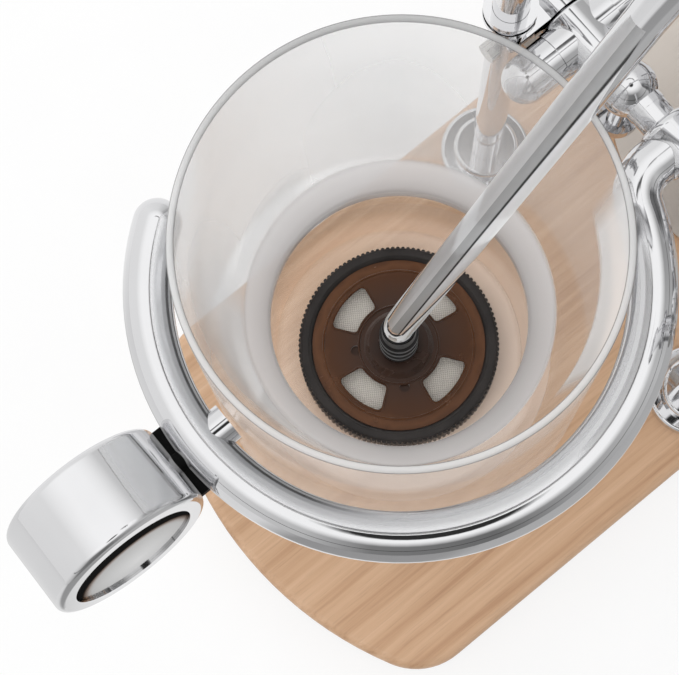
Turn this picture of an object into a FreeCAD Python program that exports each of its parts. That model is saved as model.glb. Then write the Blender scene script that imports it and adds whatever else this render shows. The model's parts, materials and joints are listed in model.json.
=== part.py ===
import FreeCAD, Part
import math
import os

# Balance siphon coffee maker on a wooden base. Millimetres, Z up, origin on the table
# under the middle of the base. X runs from the glass to the kettle, Y to the far side.
# Names that end in H, RISE or DROP are heights, and names that end in Z are places.

V = FreeCAD.Vector
UP = V(0, 0, 1)
ALONG_X = V(1, 0, 0)
ALONG_Y = V(0, 1, 0)

# Clearances
RUN_CLEAR = 0.3        # between bodies that move past each other
SHAFT_CLEAR = 0.06     # radial, shaft in its bore
FIT_CLEAR = 0.05       # radial, pieces of one body that are pressed or slipped together
END_CLEAR = 0.5        # left free at the blind end of a screw or stem

# Base
BASE_LENGTH = 250.0
BASE_MARGIN = 13.5     # from the posts to the long edges
BASE_THICK = 18.0
BASE_BOW_R = 100.0     # both short ends bow outwards
BASE_CORNER_R = 17.0
BASE_EDGE_R = 2.5
PAD_THICK = 2.0
PAD_INSET = 3.0

# Glass vessel, double walled, heights from the top of the base
GLASS_X = -60.0
GLASS_Y = 14.5
GLASS_H = 133.0
RIM_R = 45.8
RIM_LIP = 2.5          # height of the solid lip above the jacket
RIM_ROUND = 0.8
CUP_WALL = 1.8
WELL_R = 30.7
WELL_H = 52.0
LEDGE_WIDTH = 5.7      # the wall steps out above the well
LEDGE_RISE = 7.0
LEDGE_ROUND = 4.2
FLOOR_FLARE = 1.6      # the well is this much wider at its floor
FLOOR_H = 5.0
BELLY_R = 48.1
BELLY_H = 22.0
BELLY_ROUND = 13.2
FOOT_GAP = 1.1         # between the two walls at the floor of the well
JACKET_STEP = 0.4      # jacket stands in from the rim
JACKET_WALL = 1.8
JACKET_FLOOR = 2.2

# Axle, posts and bearings
AXLE_H = 90.0
AXLE_R = 3.0
AXLE_WALL = 3.5        # of the bearings and sleeves round the axle
BEARING_LEN = 13.5
BEARING_EDGE_R = 1.3
BEARING_GROOVE = 0.9
BEARING_GROOVE_DEEP = 0.8
SADDLE_H = 10.0
POST_R = 4.0
POST_GAP = 8.2         # clear space between the glass and the nearer post
POST_TO_AXLE = 13.6
POST_RISE = 48.0       # above the axle
POST_FOOT_H = 3.0      # of each of the two steps
POST_FOOT_WALL = 4.6
POST_FOOT_STEP = 3.4
POST_FOOT_EDGE_R = 1.05
COLLAR_WALL = 1.9
COLLAR_H = 5.0
COLLAR_GROOVE = 1.5
COLLAR_RISE = 16.0     # above the axle
FINIAL_OUT = 2.0       # ball radius beyond the post
POST_SCREW_R = 2.0
POST_SCREW_LIP = 2.0
POST_SCREW_HEAD_H = 3.0
POST_SCREW_IN = 10.0
CLAMP_SCREW_R = 1.25
CLAMP_SCREW_LIP = 1.15
CLAMP_HEAD_H = 1.6

# Beam: hub, knuckles and sleeves threaded on the axle, and the yoke rods
HUB_WALL = 1.0
HUB_END = 0.5
HUB_EDGE_R = 1.95
SPACER_WALL = 1.4
SPACER_LEN = 4.0
KNUCKLE_R = 6.6
KNUCKLE_END_R = 4.6
BOB_R = 5.3
BOB_H = 8.0
BOB_NECK_R = 2.2
BOB_DROP = 18.0        # from the axle to the shoulder of the bob
SLEEVE_EDGE_R = 0.8
ROD_R = 4.5
ROD_WALL = 1.3         # of the bosses round the rods
BOSS_PROUD = 1.7
STUB_WALL = 1.0        # of the cap nuts round the rods
STUB_TIP = 21.6        # reach of the domed cap nut in front of the axle
YOKE_INSET = 7.6       # rods run inside the kettle's radius
YOKE_GAP = 20.0        # between the axle and the kettle

# Ring arm and counterweight
RING_GAP = 1.2         # the glass lifts out past the ring
RING_TUBE_R = 5.5
ARM_BEND_AT = -22.0    # degrees round the glass where the arm joins the ring
RING_ANGLE = 212.0     # degrees of the ring, from the arm to its free end
DRUM_R = 19.2
DRUM_LEN = 20.0
DRUM_EDGE_R = 1.6
DRUM_ROLL = 6.0        # degrees the drum is turned on its stud
DRUM_GAP = 1.5
DISC_MARGIN = 4.4
DISC_RECESS = 1.6
DISC_THICK = 1.0
STUD_MARGIN = 0.9      # the stud is that much thinner than the ring's tube
STUD_PROUD = 1.8
STUD_NECK_R = 2.0
GASKET_H = 6.0
GASKET_INSET = 0.6     # from the ends of the drum

# Kettle in its ring
KETTLE_R = 40.0
KETTLE_WALL = 1.5
KETTLE_DROP = 24.0     # bottom of the kettle below the axle
KETTLE_BODY_H = 58.0
KETTLE_BASE_R = 6.0
COVER_RISE = 19.0
COVER_SHOULDER = 6.65
COVER_BEND_R = 6.0
COVER_WALL = 1.8
BAND_H = 12.0
BAND_THICK = 2.2
LUG_WALL = 1.2
BEAD_H = 3.0
BEAD_OUT = 2.8
BEAD_EDGE_R = 1.35
NECK_R = 12.0
NECK_H = 9.0
NECK_WALL = 3.0
FILLER_R = 6.5
FILLER_WALL = 1.5
FILLER_GAP = 6.5       # between the neck and the filler
FILLER_PROUD = 1.0
CAP_WALL = 2.2
CAP_TOP = 3.0
CAP_SKIRT = 2.0
CAP_SEAL = 1.0
CAP_EDGE_R = 1.1
KNOB_R = 5.0
KNOB_STEM_R = 2.5
KNOB_LIFT = 7.0        # centre of the knob above its cap

# Siphon tube, from the kettle over an arch into the glass
TUBE_R = 3.85
TUBE_WALL = 0.85
ARCH_R = 40.0
ARCH_RUN = 6.63        # straight tube between the stopper's nut and the arch
ELBOW_R = 20.0
ELBOW_H = 37.0
TUBE_FOOT_GAP = 5.0    # above the kettle bottom
STOPPER_LIP = 1.6
STOPPER_TAPER = 0.85
STOPPER_PROUD = 6.0
STOPPER_IN = 8.0
STOPPER_NUT_WALL = 2.3
STOPPER_NUT_H = 4.0
STOPPER_NUT_EDGE_R = 0.8

# Filter in the well of the glass
FILTER_GAP = 4.7       # between the filter and the neck of the well
FILTER_WALL = 3.6
FILTER_H = 9.0
FILTER_LIFT = 0.9      # above the floor of the glass
TEETH = 120
TOOTH_DEPTH = 0.8
COVER_THICK = 2.4
COVER_SINK = 1.0       # cover lies below the top of the toothed rim
WINDOW_EDGE = 4.2
WINDOW_SPAN = 46.0
WINDOW_FILLET = 1.0
WINDOW_TURN = 13.5     # degrees round the filter to the middle of the first window
WINDOWS = 4
DIMPLE_R = 1.3
DIMPLE_IN = 0.2
BUSH_WALL = 4.05
BUSH_EDGE = 2.0
BUSH_TAPER = 1.35
BUSH_H = 2.4
MESH_THICK = 0.8
SCREEN_THICK = 2.0
SCREEN_HOLE_R = 1.6
SCREEN_PITCH = 6.0
SOCK_WALL = 1.0        # rubber sleeve between the tube and the filter

# Spirit burner under the kettle
PLATE_R = 50.0
PLATE_THICK = 1.2
BURNER_R = 27.0
BURNER_H = 24.0
BURNER_WALL = 1.5
BURNER_SHOULDER_H = 18.0
BURNER_EDGE_R = 5.0
LID_H = 3.0
LID_MARGIN = 1.6
LID_EDGE_R = 0.9
WICK_TUBE_R = 4.6
WICK_TUBE_WALL = 1.15
WICK_TUBE_H = 6.0
WICK_PROUD = 2.0
WICK_EDGE_R = 1.0
SNUFF_GAP = 0.8        # round the wick tube
SNUFF_ROOM = 0.4       # above the wick
SNUFF_WALL = 1.0
SNUFF_EDGE_R = 1.2
HINGE_GAP = 2.2
HINGE_LIFT = 0.5
HINGE_R = 1.9
HINGE_PIN_R = 1.0
HINGE_LEN = 6.0
EAR_THICK = 1.6
LINK_H = 1.33
LINK_INSET = 0.6

# Glass: sizes that follow
BASE_TOP = PAD_THICK + BASE_THICK
LEDGE_R = WELL_R + LEDGE_WIDTH
LEDGE_H = WELL_H + LEDGE_RISE
FLOOR_R = WELL_R + FLOOR_FLARE
FOOT_R = FLOOR_R + CUP_WALL + JACKET_WALL + FOOT_GAP
JACKET_TOP_R = RIM_R - JACKET_STEP
GLASS_R = max(BELLY_R, RIM_R)

# Beam: sizes that follow, out from the middle along the axle
AXLE_Z = BASE_TOP + AXLE_H
RING_R = GLASS_R + RING_GAP + RING_TUBE_R
HUB_R = RING_TUBE_R + HUB_WALL
HUB_HALF = RING_TUBE_R + HUB_END
SLEEVE_R = AXLE_R + AXLE_WALL
BOSS_R = ROD_R + ROD_WALL
BOSS_REACH = SLEEVE_R + BOSS_PROUD
STUB_R = ROD_R + STUB_WALL
YOKE_Y = KETTLE_R - YOKE_INSET
KNUCKLE_Y = HUB_HALF + SPACER_LEN + KNUCKLE_R
SLEEVE_IN = KNUCKLE_Y + KNUCKLE_R
SLEEVE_OUT = YOKE_Y + BOSS_R
BEARING_IN = SLEEVE_OUT + RUN_CLEAR
BEARING_OUT = BEARING_IN + BEARING_LEN
STUD_R = RING_TUBE_R - STUD_MARGIN
DISC_R = DRUM_R - DISC_MARGIN

# Posts, axle and kettle: places that follow
POST_Y = BEARING_IN + POST_R
POST_X = GLASS_X + math.sqrt((GLASS_R + POST_GAP + POST_R) ** 2 - (POST_Y - GLASS_Y) ** 2)
AXLE_X = POST_X + POST_TO_AXLE
KETTLE_X = AXLE_X + YOKE_GAP + KETTLE_R
KETTLE_DIST = math.hypot(KETTLE_X - GLASS_X, GLASS_Y)
BASE_WIDTH = 2 * (POST_Y + BASE_MARGIN)
POST_TOP_Z = AXLE_Z + POST_RISE
BAND_Z = AXLE_Z - BAND_H / 2
KETTLE_Z = AXLE_Z - KETTLE_DROP
SEAM_Z = KETTLE_Z + KETTLE_BODY_H
COVER_Z = SEAM_Z + COVER_RISE
NECK_Z = COVER_Z + NECK_H
NECK_BORE_R = NECK_R - NECK_WALL
FILLER_BORE_R = FILLER_R - FILLER_WALL
FILLER_X = KETTLE_X + NECK_R + FILLER_GAP + FILLER_R
FILLER_Z = COVER_Z + FILLER_PROUD

# Siphon and filter: sizes that follow
TUBE_BORE_R = TUBE_R - TUBE_WALL
TUBE_HOLE_R = TUBE_R + FIT_CLEAR
ELBOW_Z = BASE_TOP + ELBOW_H
ARCH_Z = NECK_Z + STOPPER_PROUD + STOPPER_NUT_H + ARCH_RUN
FILTER_Z = BASE_TOP + FLOOR_H + FILTER_LIFT
FILTER_R = WELL_R - FILTER_GAP
RIM_INNER_R = FILTER_R - FILTER_WALL
COVER_TOP_Z = FILTER_Z + FILTER_H - COVER_SINK
SOCK_R = TUBE_HOLE_R + SOCK_WALL
BUSH_BORE_R = SOCK_R + FIT_CLEAR
BUSH_R = BUSH_BORE_R + BUSH_WALL
WINDOW_IN_R = BUSH_R + BUSH_EDGE
WINDOW_OUT_R = RIM_INNER_R - WINDOW_EDGE
WINDOW_STEP = 360.0 / WINDOWS

# Burner: sizes that follow
BURNER_Z = BASE_TOP + PLATE_THICK + RUN_CLEAR
LID_Z = BURNER_Z + BURNER_H
LID_TOP_Z = LID_Z + LID_H
WICK_R = WICK_TUBE_R - WICK_TUBE_WALL - FIT_CLEAR
SNUFF_ROOM_R = WICK_TUBE_R + SNUFF_GAP
SNUFF_R = SNUFF_ROOM_R + SNUFF_WALL
SNUFF_Z = LID_TOP_Z + RUN_CLEAR
SNUFF_H = WICK_TUBE_H + WICK_PROUD + SNUFF_ROOM
HINGE_X = KETTLE_X + SNUFF_R + HINGE_R + HINGE_GAP
HINGE_Z = LID_TOP_Z + HINGE_R + HINGE_LIFT
LID_R = HINGE_X - KETTLE_X + HINGE_R + LID_MARGIN


def cylinder(r, start, direction, length):
    return Part.makeCylinder(r, length, start, direction)


def pipe(r_out, r_in, start, direction, length):
    outer = cylinder(r_out, start, direction, length)
    return outer.cut(cylinder(r_in, start, direction, length))


def turned(points, x, y, z):
    """Solid of revolution about a vertical axis from (radius, height) points."""
    corners = [V(x + r, y, z + h) for r, h in points]
    face = Part.Face(Part.makePolygon(corners + [corners[0]]))
    return face.revolve(V(x, y, 0), UP, 360)


def rounded(shape, radius, pick):
    """Fillet the edges that pick chooses."""
    return shape.makeFillet(radius, [edge for edge in shape.Edges if pick(edge)])


def is_circle(edge, radius, z=None):
    """True for a circle of that radius, at that height where one is given."""
    curve = edge.Curve
    if not isinstance(curve, Part.Circle):
        return False
    if abs(curve.Radius - radius) > 1e-3:
        return False
    return z is None or abs(curve.Center.z - z) < 1e-3


def sweep(wire, radius):
    """Round bar along a wire of straight runs and tangent arcs."""
    start = wire.Edges[0]
    at = start.Vertexes[0].Point
    heading = start.tangentAt(start.FirstParameter)
    ring = Part.Wire(Part.makeCircle(radius, at, heading))
    return wire.makePipeShell([ring], True, False)


def save(name, shape):
    if not shape.isValid():
        raise ValueError("invalid shape: " + name)
    shape.exportStep(os.path.join("parts", name + ".step"))


def base_outline(inset, z):
    """Plan of the base: straight long sides and bowed ends, corners rounded."""
    half_w = BASE_WIDTH / 2 - inset
    tip = BASE_LENGTH / 2 - inset
    bow = BASE_BOW_R - inset
    sag = bow - math.sqrt(bow * bow - half_w * half_w)
    corner = tip - sag
    ends = []
    for side in (1, -1):
        near = V(side * corner, -side * half_w, z)
        far = V(side * corner, side * half_w, z)
        ends.append((near, V(side * tip, 0, z), far))
    right, left = ends
    edges = [
        Part.Arc(right[0], right[1], right[2]).toShape(),
        Part.LineSegment(right[2], left[0]).toShape(),
        Part.Arc(left[0], left[1], left[2]).toShape(),
        Part.LineSegment(left[2], right[0]).toShape(),
    ]
    return Part.Face(Part.Wire(edges))


def base_solid(inset, z, thick):
    body = base_outline(inset, z).extrude(V(0, 0, thick))
    corner_r = BASE_CORNER_R - inset
    corners = []
    for edge in body.Edges:
        span = edge.BoundBox
        if span.ZLength > thick / 2 and span.XLength < 1e-3 and span.YLength < 1e-3:
            corners.append(edge)
    return body.makeFillet(corner_r, corners)


def make_base():
    board = base_solid(0, PAD_THICK, BASE_THICK)
    top_edges = [e for e in board.Edges if e.BoundBox.ZMin > BASE_TOP - 1e-3]
    board = board.makeFillet(BASE_EDGE_R, top_edges)
    for side in (1, -1):
        under = V(POST_X, side * POST_Y, PAD_THICK)
        board = board.cut(cylinder(POST_SCREW_R + FIT_CLEAR, under, UP, BASE_THICK))
        head_r = POST_SCREW_R + POST_SCREW_LIP + FIT_CLEAR
        board = board.cut(cylinder(head_r, under, UP, POST_SCREW_HEAD_H))
    save("base_board", board)
    save("base_pad", base_solid(PAD_INSET, 0, PAD_THICK))
    save("heat_plate", cylinder(PLATE_R, V(KETTLE_X, 0, BASE_TOP), UP, PLATE_THICK))


def make_post(side, name):
    y = side * POST_Y
    inner = POST_R + FIT_CLEAR
    step_r = POST_R + POST_FOOT_WALL
    flange_r = step_r + POST_FOOT_STEP
    foot = turned(
        [(inner, 0), (flange_r, 0), (flange_r, POST_FOOT_H), (step_r, POST_FOOT_H),
         (step_r, 2 * POST_FOOT_H), (inner, 2 * POST_FOOT_H)], POST_X, y, BASE_TOP)
    foot = rounded(foot, POST_FOOT_EDGE_R, lambda e: is_circle(e, flange_r, BASE_TOP + POST_FOOT_H)
                   or is_circle(e, step_r, BASE_TOP + 2 * POST_FOOT_H))
    save("post_foot_" + name, foot)

    at = V(POST_X, y, BASE_TOP)
    post = cylinder(POST_R, at, UP, POST_TOP_Z - BASE_TOP)
    post = post.cut(cylinder(POST_SCREW_R + FIT_CLEAR, at, UP, POST_SCREW_IN))
    across = V(POST_X - POST_R, y, AXLE_Z)
    post = post.cut(cylinder(CLAMP_SCREW_R + FIT_CLEAR, across, ALONG_X, 2 * POST_R))
    save("post_" + name, post)

    outer = POST_R + COLLAR_WALL
    lip = (COLLAR_H - COLLAR_GROOVE) / 2
    neck = POST_R + COLLAR_WALL / 2
    collar = turned(
        [(inner, 0), (outer, 0), (outer, lip), (neck, lip), (neck, lip + COLLAR_GROOVE),
         (outer, lip + COLLAR_GROOVE), (outer, COLLAR_H), (inner, COLLAR_H)],
        POST_X, y, AXLE_Z + COLLAR_RISE)
    save("post_collar_" + name, collar)

    ball_r = POST_R + FINIAL_OUT
    ball_z = POST_TOP_Z + math.sqrt(ball_r ** 2 - POST_R ** 2)
    ball = Part.makeSphere(ball_r, V(POST_X, y, ball_z))
    below = cylinder(2 * ball_r, V(POST_X, y, POST_TOP_Z - 2 * ball_r), UP, 2 * ball_r)
    save("post_finial_" + name, ball.cut(below))


def clamp_depth():
    """Metal of a bearing between its post and the bore for the axle."""
    return POST_TO_AXLE - AXLE_R - POST_R


def make_bearing(side, name):
    """Bearing on the side of a post: a saddle against the post and a bored boss."""
    start = V(AXLE_X, side * BEARING_IN, AXLE_Z)
    heading = ALONG_Y * side
    boss = cylinder(SLEEVE_R, start, heading, BEARING_LEN)
    boss = rounded(boss, BEARING_EDGE_R, lambda e: is_circle(e, SLEEVE_R)
                   and abs(abs(e.Curve.Center.y) - BEARING_OUT) < 1e-3)
    web_y = min(side * BEARING_IN, side * (POST_Y + POST_R))
    web_at = V(POST_X, web_y, AXLE_Z - SADDLE_H / 2)
    web = Part.makeBox(POST_TO_AXLE, 2 * POST_R, SADDLE_H, web_at)
    post_at = V(POST_X, side * POST_Y, AXLE_Z - SADDLE_H)
    block = boss.fuse(web).cut(cylinder(POST_R + FIT_CLEAR, post_at, UP, 2 * SADDLE_H))
    block = block.cut(cylinder(AXLE_R + SHAFT_CLEAR, start, heading, BEARING_LEN))
    clamp_at = V(POST_X, side * POST_Y, AXLE_Z)
    clamp_len = POST_R + clamp_depth() / 2
    block = block.cut(cylinder(CLAMP_SCREW_R + FIT_CLEAR, clamp_at, ALONG_X, clamp_len))
    groove_at = V(AXLE_X, side * (POST_Y + POST_R + BEARING_GROOVE), AXLE_Z)
    groove_r = SLEEVE_R - BEARING_GROOVE_DEEP
    block = block.cut(pipe(2 * SLEEVE_R, groove_r, groove_at, heading, BEARING_GROOVE))
    save("bearing_" + name, block.removeSplitter())


def make_screws():
    """Two screws up through the base into the posts, two through the posts into the bearings."""
    shank = BASE_THICK - POST_SCREW_HEAD_H + POST_SCREW_IN - END_CLEAR
    clamp_shank = 2 * POST_R + clamp_depth() / 2
    post_screws = []
    clamp_screws = []
    for side in (1, -1):
        under = V(POST_X, side * POST_Y, PAD_THICK)
        head = cylinder(POST_SCREW_R + POST_SCREW_LIP, under, UP, POST_SCREW_HEAD_H)
        body = cylinder(POST_SCREW_R, under + UP * POST_SCREW_HEAD_H, UP, shank)
        post_screws.append(head.fuse(body).removeSplitter())
        face = V(POST_X - POST_R, side * POST_Y, AXLE_Z)
        head_at = face - ALONG_X * CLAMP_HEAD_H
        head = cylinder(CLAMP_SCREW_R + CLAMP_SCREW_LIP, head_at, ALONG_X, CLAMP_HEAD_H + POST_R)
        round_post = V(POST_X, side * POST_Y, AXLE_Z - SADDLE_H)
        head = head.cut(cylinder(POST_R, round_post, UP, 2 * SADDLE_H))
        body = cylinder(CLAMP_SCREW_R, face - ALONG_X * END_CLEAR, ALONG_X, clamp_shank)
        clamp_screws.append(head.fuse(body).removeSplitter())
    save("post_screws", Part.makeCompound(post_screws))
    save("clamp_screws", Part.makeCompound(clamp_screws))


def cup_outer_points():
    return [(0, FLOOR_H - CUP_WALL), (FLOOR_R + CUP_WALL, FLOOR_H - CUP_WALL),
            (WELL_R + CUP_WALL, WELL_H), (LEDGE_R + CUP_WALL, LEDGE_H), (RIM_R, GLASS_H)]


def make_glass():
    """Stepped cup and rounded jacket, joined under the rim with an air gap between them."""
    inside = [(RIM_R - CUP_WALL, GLASS_H), (LEDGE_R, LEDGE_H), (WELL_R, WELL_H),
              (FLOOR_R, FLOOR_H), (0, FLOOR_H)]
    cup = turned(cup_outer_points() + inside, GLASS_X, GLASS_Y, BASE_TOP)
    for wall in (0, CUP_WALL):
        cup = rounded(cup, LEDGE_ROUND, lambda e: is_circle(e, LEDGE_R + wall)
                      or is_circle(e, WELL_R + wall))
    cup = rounded(cup, RIM_ROUND, lambda e: is_circle(e, RIM_R) or is_circle(e, RIM_R - CUP_WALL))
    save("glass_cup", cup)

    top = GLASS_H - RIM_LIP
    filled = turned([(0, 0), (FOOT_R, 0), (BELLY_R, BELLY_H), (JACKET_TOP_R, top), (0, top)],
                    GLASS_X, GLASS_Y, BASE_TOP)
    filled = rounded(filled, BELLY_ROUND, lambda e: is_circle(e, BELLY_R))
    filled = rounded(filled, JACKET_FLOOR, lambda e: is_circle(e, FOOT_R))
    room_r = BELLY_R - JACKET_WALL
    hollow = turned(
        [(0, JACKET_FLOOR), (FOOT_R - JACKET_WALL, JACKET_FLOOR), (room_r, BELLY_H),
         (JACKET_TOP_R - JACKET_WALL, top), (0, top)], GLASS_X, GLASS_Y, BASE_TOP)
    hollow = rounded(hollow, BELLY_ROUND - JACKET_WALL, lambda e: is_circle(e, room_r))
    core = turned(cup_outer_points() + [(0, GLASS_H)], GLASS_X, GLASS_Y, BASE_TOP)
    save("glass_jacket", filled.cut(hollow).cut(core))


def axle_bar(radius):
    return cylinder(radius, V(AXLE_X, -BEARING_OUT, AXLE_Z), ALONG_Y, 2 * BEARING_OUT)


def make_axle_group():
    bore = axle_bar(AXLE_R + FIT_CLEAR)
    save("axle", axle_bar(AXLE_R))

    hub = cylinder(HUB_R, V(AXLE_X, -HUB_HALF, AXLE_Z), ALONG_Y, 2 * HUB_HALF)
    hub = rounded(hub, HUB_EDGE_R, lambda e: is_circle(e, HUB_R))
    socket = cylinder(RING_TUBE_R + FIT_CLEAR, V(AXLE_X, 0, AXLE_Z), ALONG_X * -1, 2 * HUB_R)
    save("hub", hub.cut(bore).cut(socket))

    for side, name in ((1, "far"), (-1, "near")):
        spacer_at = V(AXLE_X, side * HUB_HALF, AXLE_Z)
        spacer = cylinder(AXLE_R + SPACER_WALL, spacer_at, ALONG_Y * side, SPACER_LEN)
        save("spacer_" + name, spacer.cut(bore))
        make_knuckle(V(AXLE_X, side * KNUCKLE_Y, AXLE_Z), name, bore)

        sleeve_at = V(AXLE_X, side * SLEEVE_IN, AXLE_Z)
        sleeve = cylinder(SLEEVE_R, sleeve_at, ALONG_Y * side, SLEEVE_OUT - SLEEVE_IN)
        sleeve = rounded(sleeve, SLEEVE_EDGE_R, lambda e: is_circle(e, SLEEVE_R))
        across = V(AXLE_X - BOSS_REACH, side * YOKE_Y, AXLE_Z)
        boss = cylinder(BOSS_R, across, ALONG_X, 2 * BOSS_REACH)
        rod_hole = cylinder(ROD_R + FIT_CLEAR, across, ALONG_X, 2 * BOSS_REACH)
        save("sleeve_" + name, sleeve.fuse(boss).cut(bore).cut(rod_hole).removeSplitter())


def make_knuckle(middle, name, bore):
    """Ball on the axle with a small bob hanging under it."""
    ball = Part.makeSphere(KNUCKLE_R, middle)
    ends = cylinder(KNUCKLE_END_R, middle - ALONG_Y * KNUCKLE_R, ALONG_Y, 2 * KNUCKLE_R)
    neck_hole = cylinder(BOB_NECK_R + FIT_CLEAR, middle, UP * -1, 2 * KNUCKLE_R)
    save("knuckle_" + name, ball.fuse(ends).cut(bore).cut(neck_hole))

    shoulder = middle - UP * BOB_DROP
    neck = cylinder(BOB_NECK_R, shoulder, UP, BOB_DROP - AXLE_R - END_CLEAR)
    dome_at = shoulder - UP * (BOB_H - BOB_R)
    barrel = cylinder(BOB_R, dome_at, UP, BOB_H - BOB_R)
    dome = Part.makeSphere(BOB_R, dome_at, UP, -90, 0, 360)
    save("bob_" + name, neck.fuse(barrel).fuse(dome).removeSplitter())


def make_yoke():
    """Rods through the sleeves to the kettle ring, with domed cap nuts in front."""
    inner = KETTLE_R + FIT_CLEAR
    outer = inner + BAND_THICK
    ring_at = V(KETTLE_X, 0, BAND_Z)
    band = pipe(outer, inner, ring_at, UP, BAND_H)
    keep_out = cylinder(inner, ring_at, UP, BAND_H)
    lug_len = 2 * BAND_THICK + inner - YOKE_Y
    rod_end = KETTLE_X - math.sqrt(outer ** 2 - YOKE_Y ** 2) - BAND_THICK
    front = AXLE_X - BOSS_REACH
    flat_at = AXLE_X - STUB_TIP + STUB_R
    for side, name in ((1, "far"), (-1, "near")):
        y = side * YOKE_Y
        rod = cylinder(ROD_R, V(front, y, AXLE_Z), ALONG_X, rod_end - front)
        save("yoke_rod_" + name, rod.cut(axle_bar(AXLE_R + FIT_CLEAR)))
        lug_at = V(rod_end - BAND_THICK, y, AXLE_Z)
        lug = cylinder(ROD_R + LUG_WALL, lug_at, ALONG_X, lug_len)
        rod_hole = cylinder(ROD_R + FIT_CLEAR, V(front, y, AXLE_Z), ALONG_X, rod_end - front)
        band = band.fuse(lug.cut(keep_out)).cut(rod_hole)
        cap = cylinder(STUB_R, V(flat_at, y, AXLE_Z), ALONG_X, front - flat_at)
        dome = Part.makeSphere(STUB_R, V(flat_at, y, AXLE_Z))
        save("cap_nut_" + name, cap.fuse(dome).removeSplitter())
    save("kettle_ring", band.removeSplitter())


def ring_point(degrees):
    turn = math.radians(degrees)
    return V(GLASS_X + RING_R * math.cos(turn), GLASS_Y + RING_R * math.sin(turn), AXLE_Z)


def make_ring_arm():
    """Tube from the hub, bent into a C round the glass, with a domed free end."""
    join = ring_point(ARM_BEND_AT)
    turn = math.radians(ARM_BEND_AT)
    back = V(-math.sin(turn), math.cos(turn), 0)
    run = -join.y / back.y
    corner = join + back * run
    start = V(corner.x + run, 0, AXLE_Z)
    bend_r = run / math.tan(math.acos(back.x) / 2)
    centre = V(start.x, -bend_r, AXLE_Z)
    middle = centre + (corner - centre).normalize() * bend_r
    half_way = ring_point(ARM_BEND_AT - RING_ANGLE / 2)
    finish = ring_point(ARM_BEND_AT - RING_ANGLE)
    edges = [
        Part.LineSegment(V(AXLE_X - AXLE_R - RUN_CLEAR, 0, AXLE_Z), start).toShape(),
        Part.Arc(start, middle, join).toShape(),
        Part.Arc(join, half_way, finish).toShape(),
    ]
    tube = sweep(Part.Wire(edges), RING_TUBE_R)
    tube = tube.fuse(Part.makeSphere(RING_TUBE_R, finish)).removeSplitter()
    stud_at = V(GLASS_X - RING_R, GLASS_Y, AXLE_Z)
    tube = tube.cut(cylinder(STUD_R + FIT_CLEAR, stud_at, ALONG_X, 2 * RING_TUBE_R))
    save("ring_arm", tube.cut(cylinder(STUD_NECK_R + FIT_CLEAR, stud_at, ALONG_X * -1, 2 * RING_TUBE_R)))


def make_counterweight():
    """Drum on a headed stud through the ring, with a rubber strip between drum and ring."""
    middle = V(GLASS_X - RING_R - RING_TUBE_R - DRUM_GAP - DRUM_R, GLASS_Y, AXLE_Z)

    def rolled(shape):
        shape.rotate(middle, ALONG_X, -DRUM_ROLL)
        return shape

    near_face = middle - ALONG_Y * (DRUM_LEN / 2)
    drum = cylinder(DRUM_R, near_face, ALONG_Y, DRUM_LEN)
    drum = rounded(drum, DRUM_EDGE_R, lambda e: is_circle(e, DRUM_R))
    discs = []
    for side in (1, -1):
        face = middle + ALONG_Y * (side * (DRUM_LEN / 2 - DISC_RECESS))
        drum = drum.cut(cylinder(DISC_R + FIT_CLEAR, face, ALONG_Y * side, DISC_RECESS))
        discs.append(rolled(cylinder(DISC_R, face, ALONG_Y * side, DISC_THICK)))
    neck_at = middle + ALONG_X * (DRUM_R / 2)
    neck_hole = cylinder(STUD_NECK_R + FIT_CLEAR, neck_at, ALONG_X, DRUM_R + RING_TUBE_R)
    save("counter_drum", rolled(drum).cut(neck_hole))
    save("drum_discs", Part.makeCompound(discs))

    head_at = V(GLASS_X - RING_R, GLASS_Y, AXLE_Z)
    neck = cylinder(STUD_NECK_R, neck_at, ALONG_X, head_at.x - neck_at.x)
    head = cylinder(STUD_R, head_at, ALONG_X, RING_TUBE_R + STUD_PROUD)
    save("drum_stud", neck.fuse(head).removeSplitter())

    strip_len = DRUM_LEN - 2 * GASKET_INSET
    strip_at = middle - V(0, strip_len / 2, GASKET_H / 2)
    strip = Part.makeBox(head_at.x - middle.x, strip_len, GASKET_H, strip_at)
    strip = strip.cut(rolled(cylinder(DRUM_R + FIT_CLEAR, near_face, ALONG_Y, DRUM_LEN)))
    ring_centre = V(GLASS_X, GLASS_Y, AXLE_Z)
    strip = strip.cut(Part.makeTorus(RING_R, RING_TUBE_R + FIT_CLEAR, ring_centre, UP))
    strip = strip.cut(cylinder(RING_R, ring_centre - UP * GASKET_H, UP, 2 * GASKET_H))
    save("drum_gasket", strip.cut(neck_hole))


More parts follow.
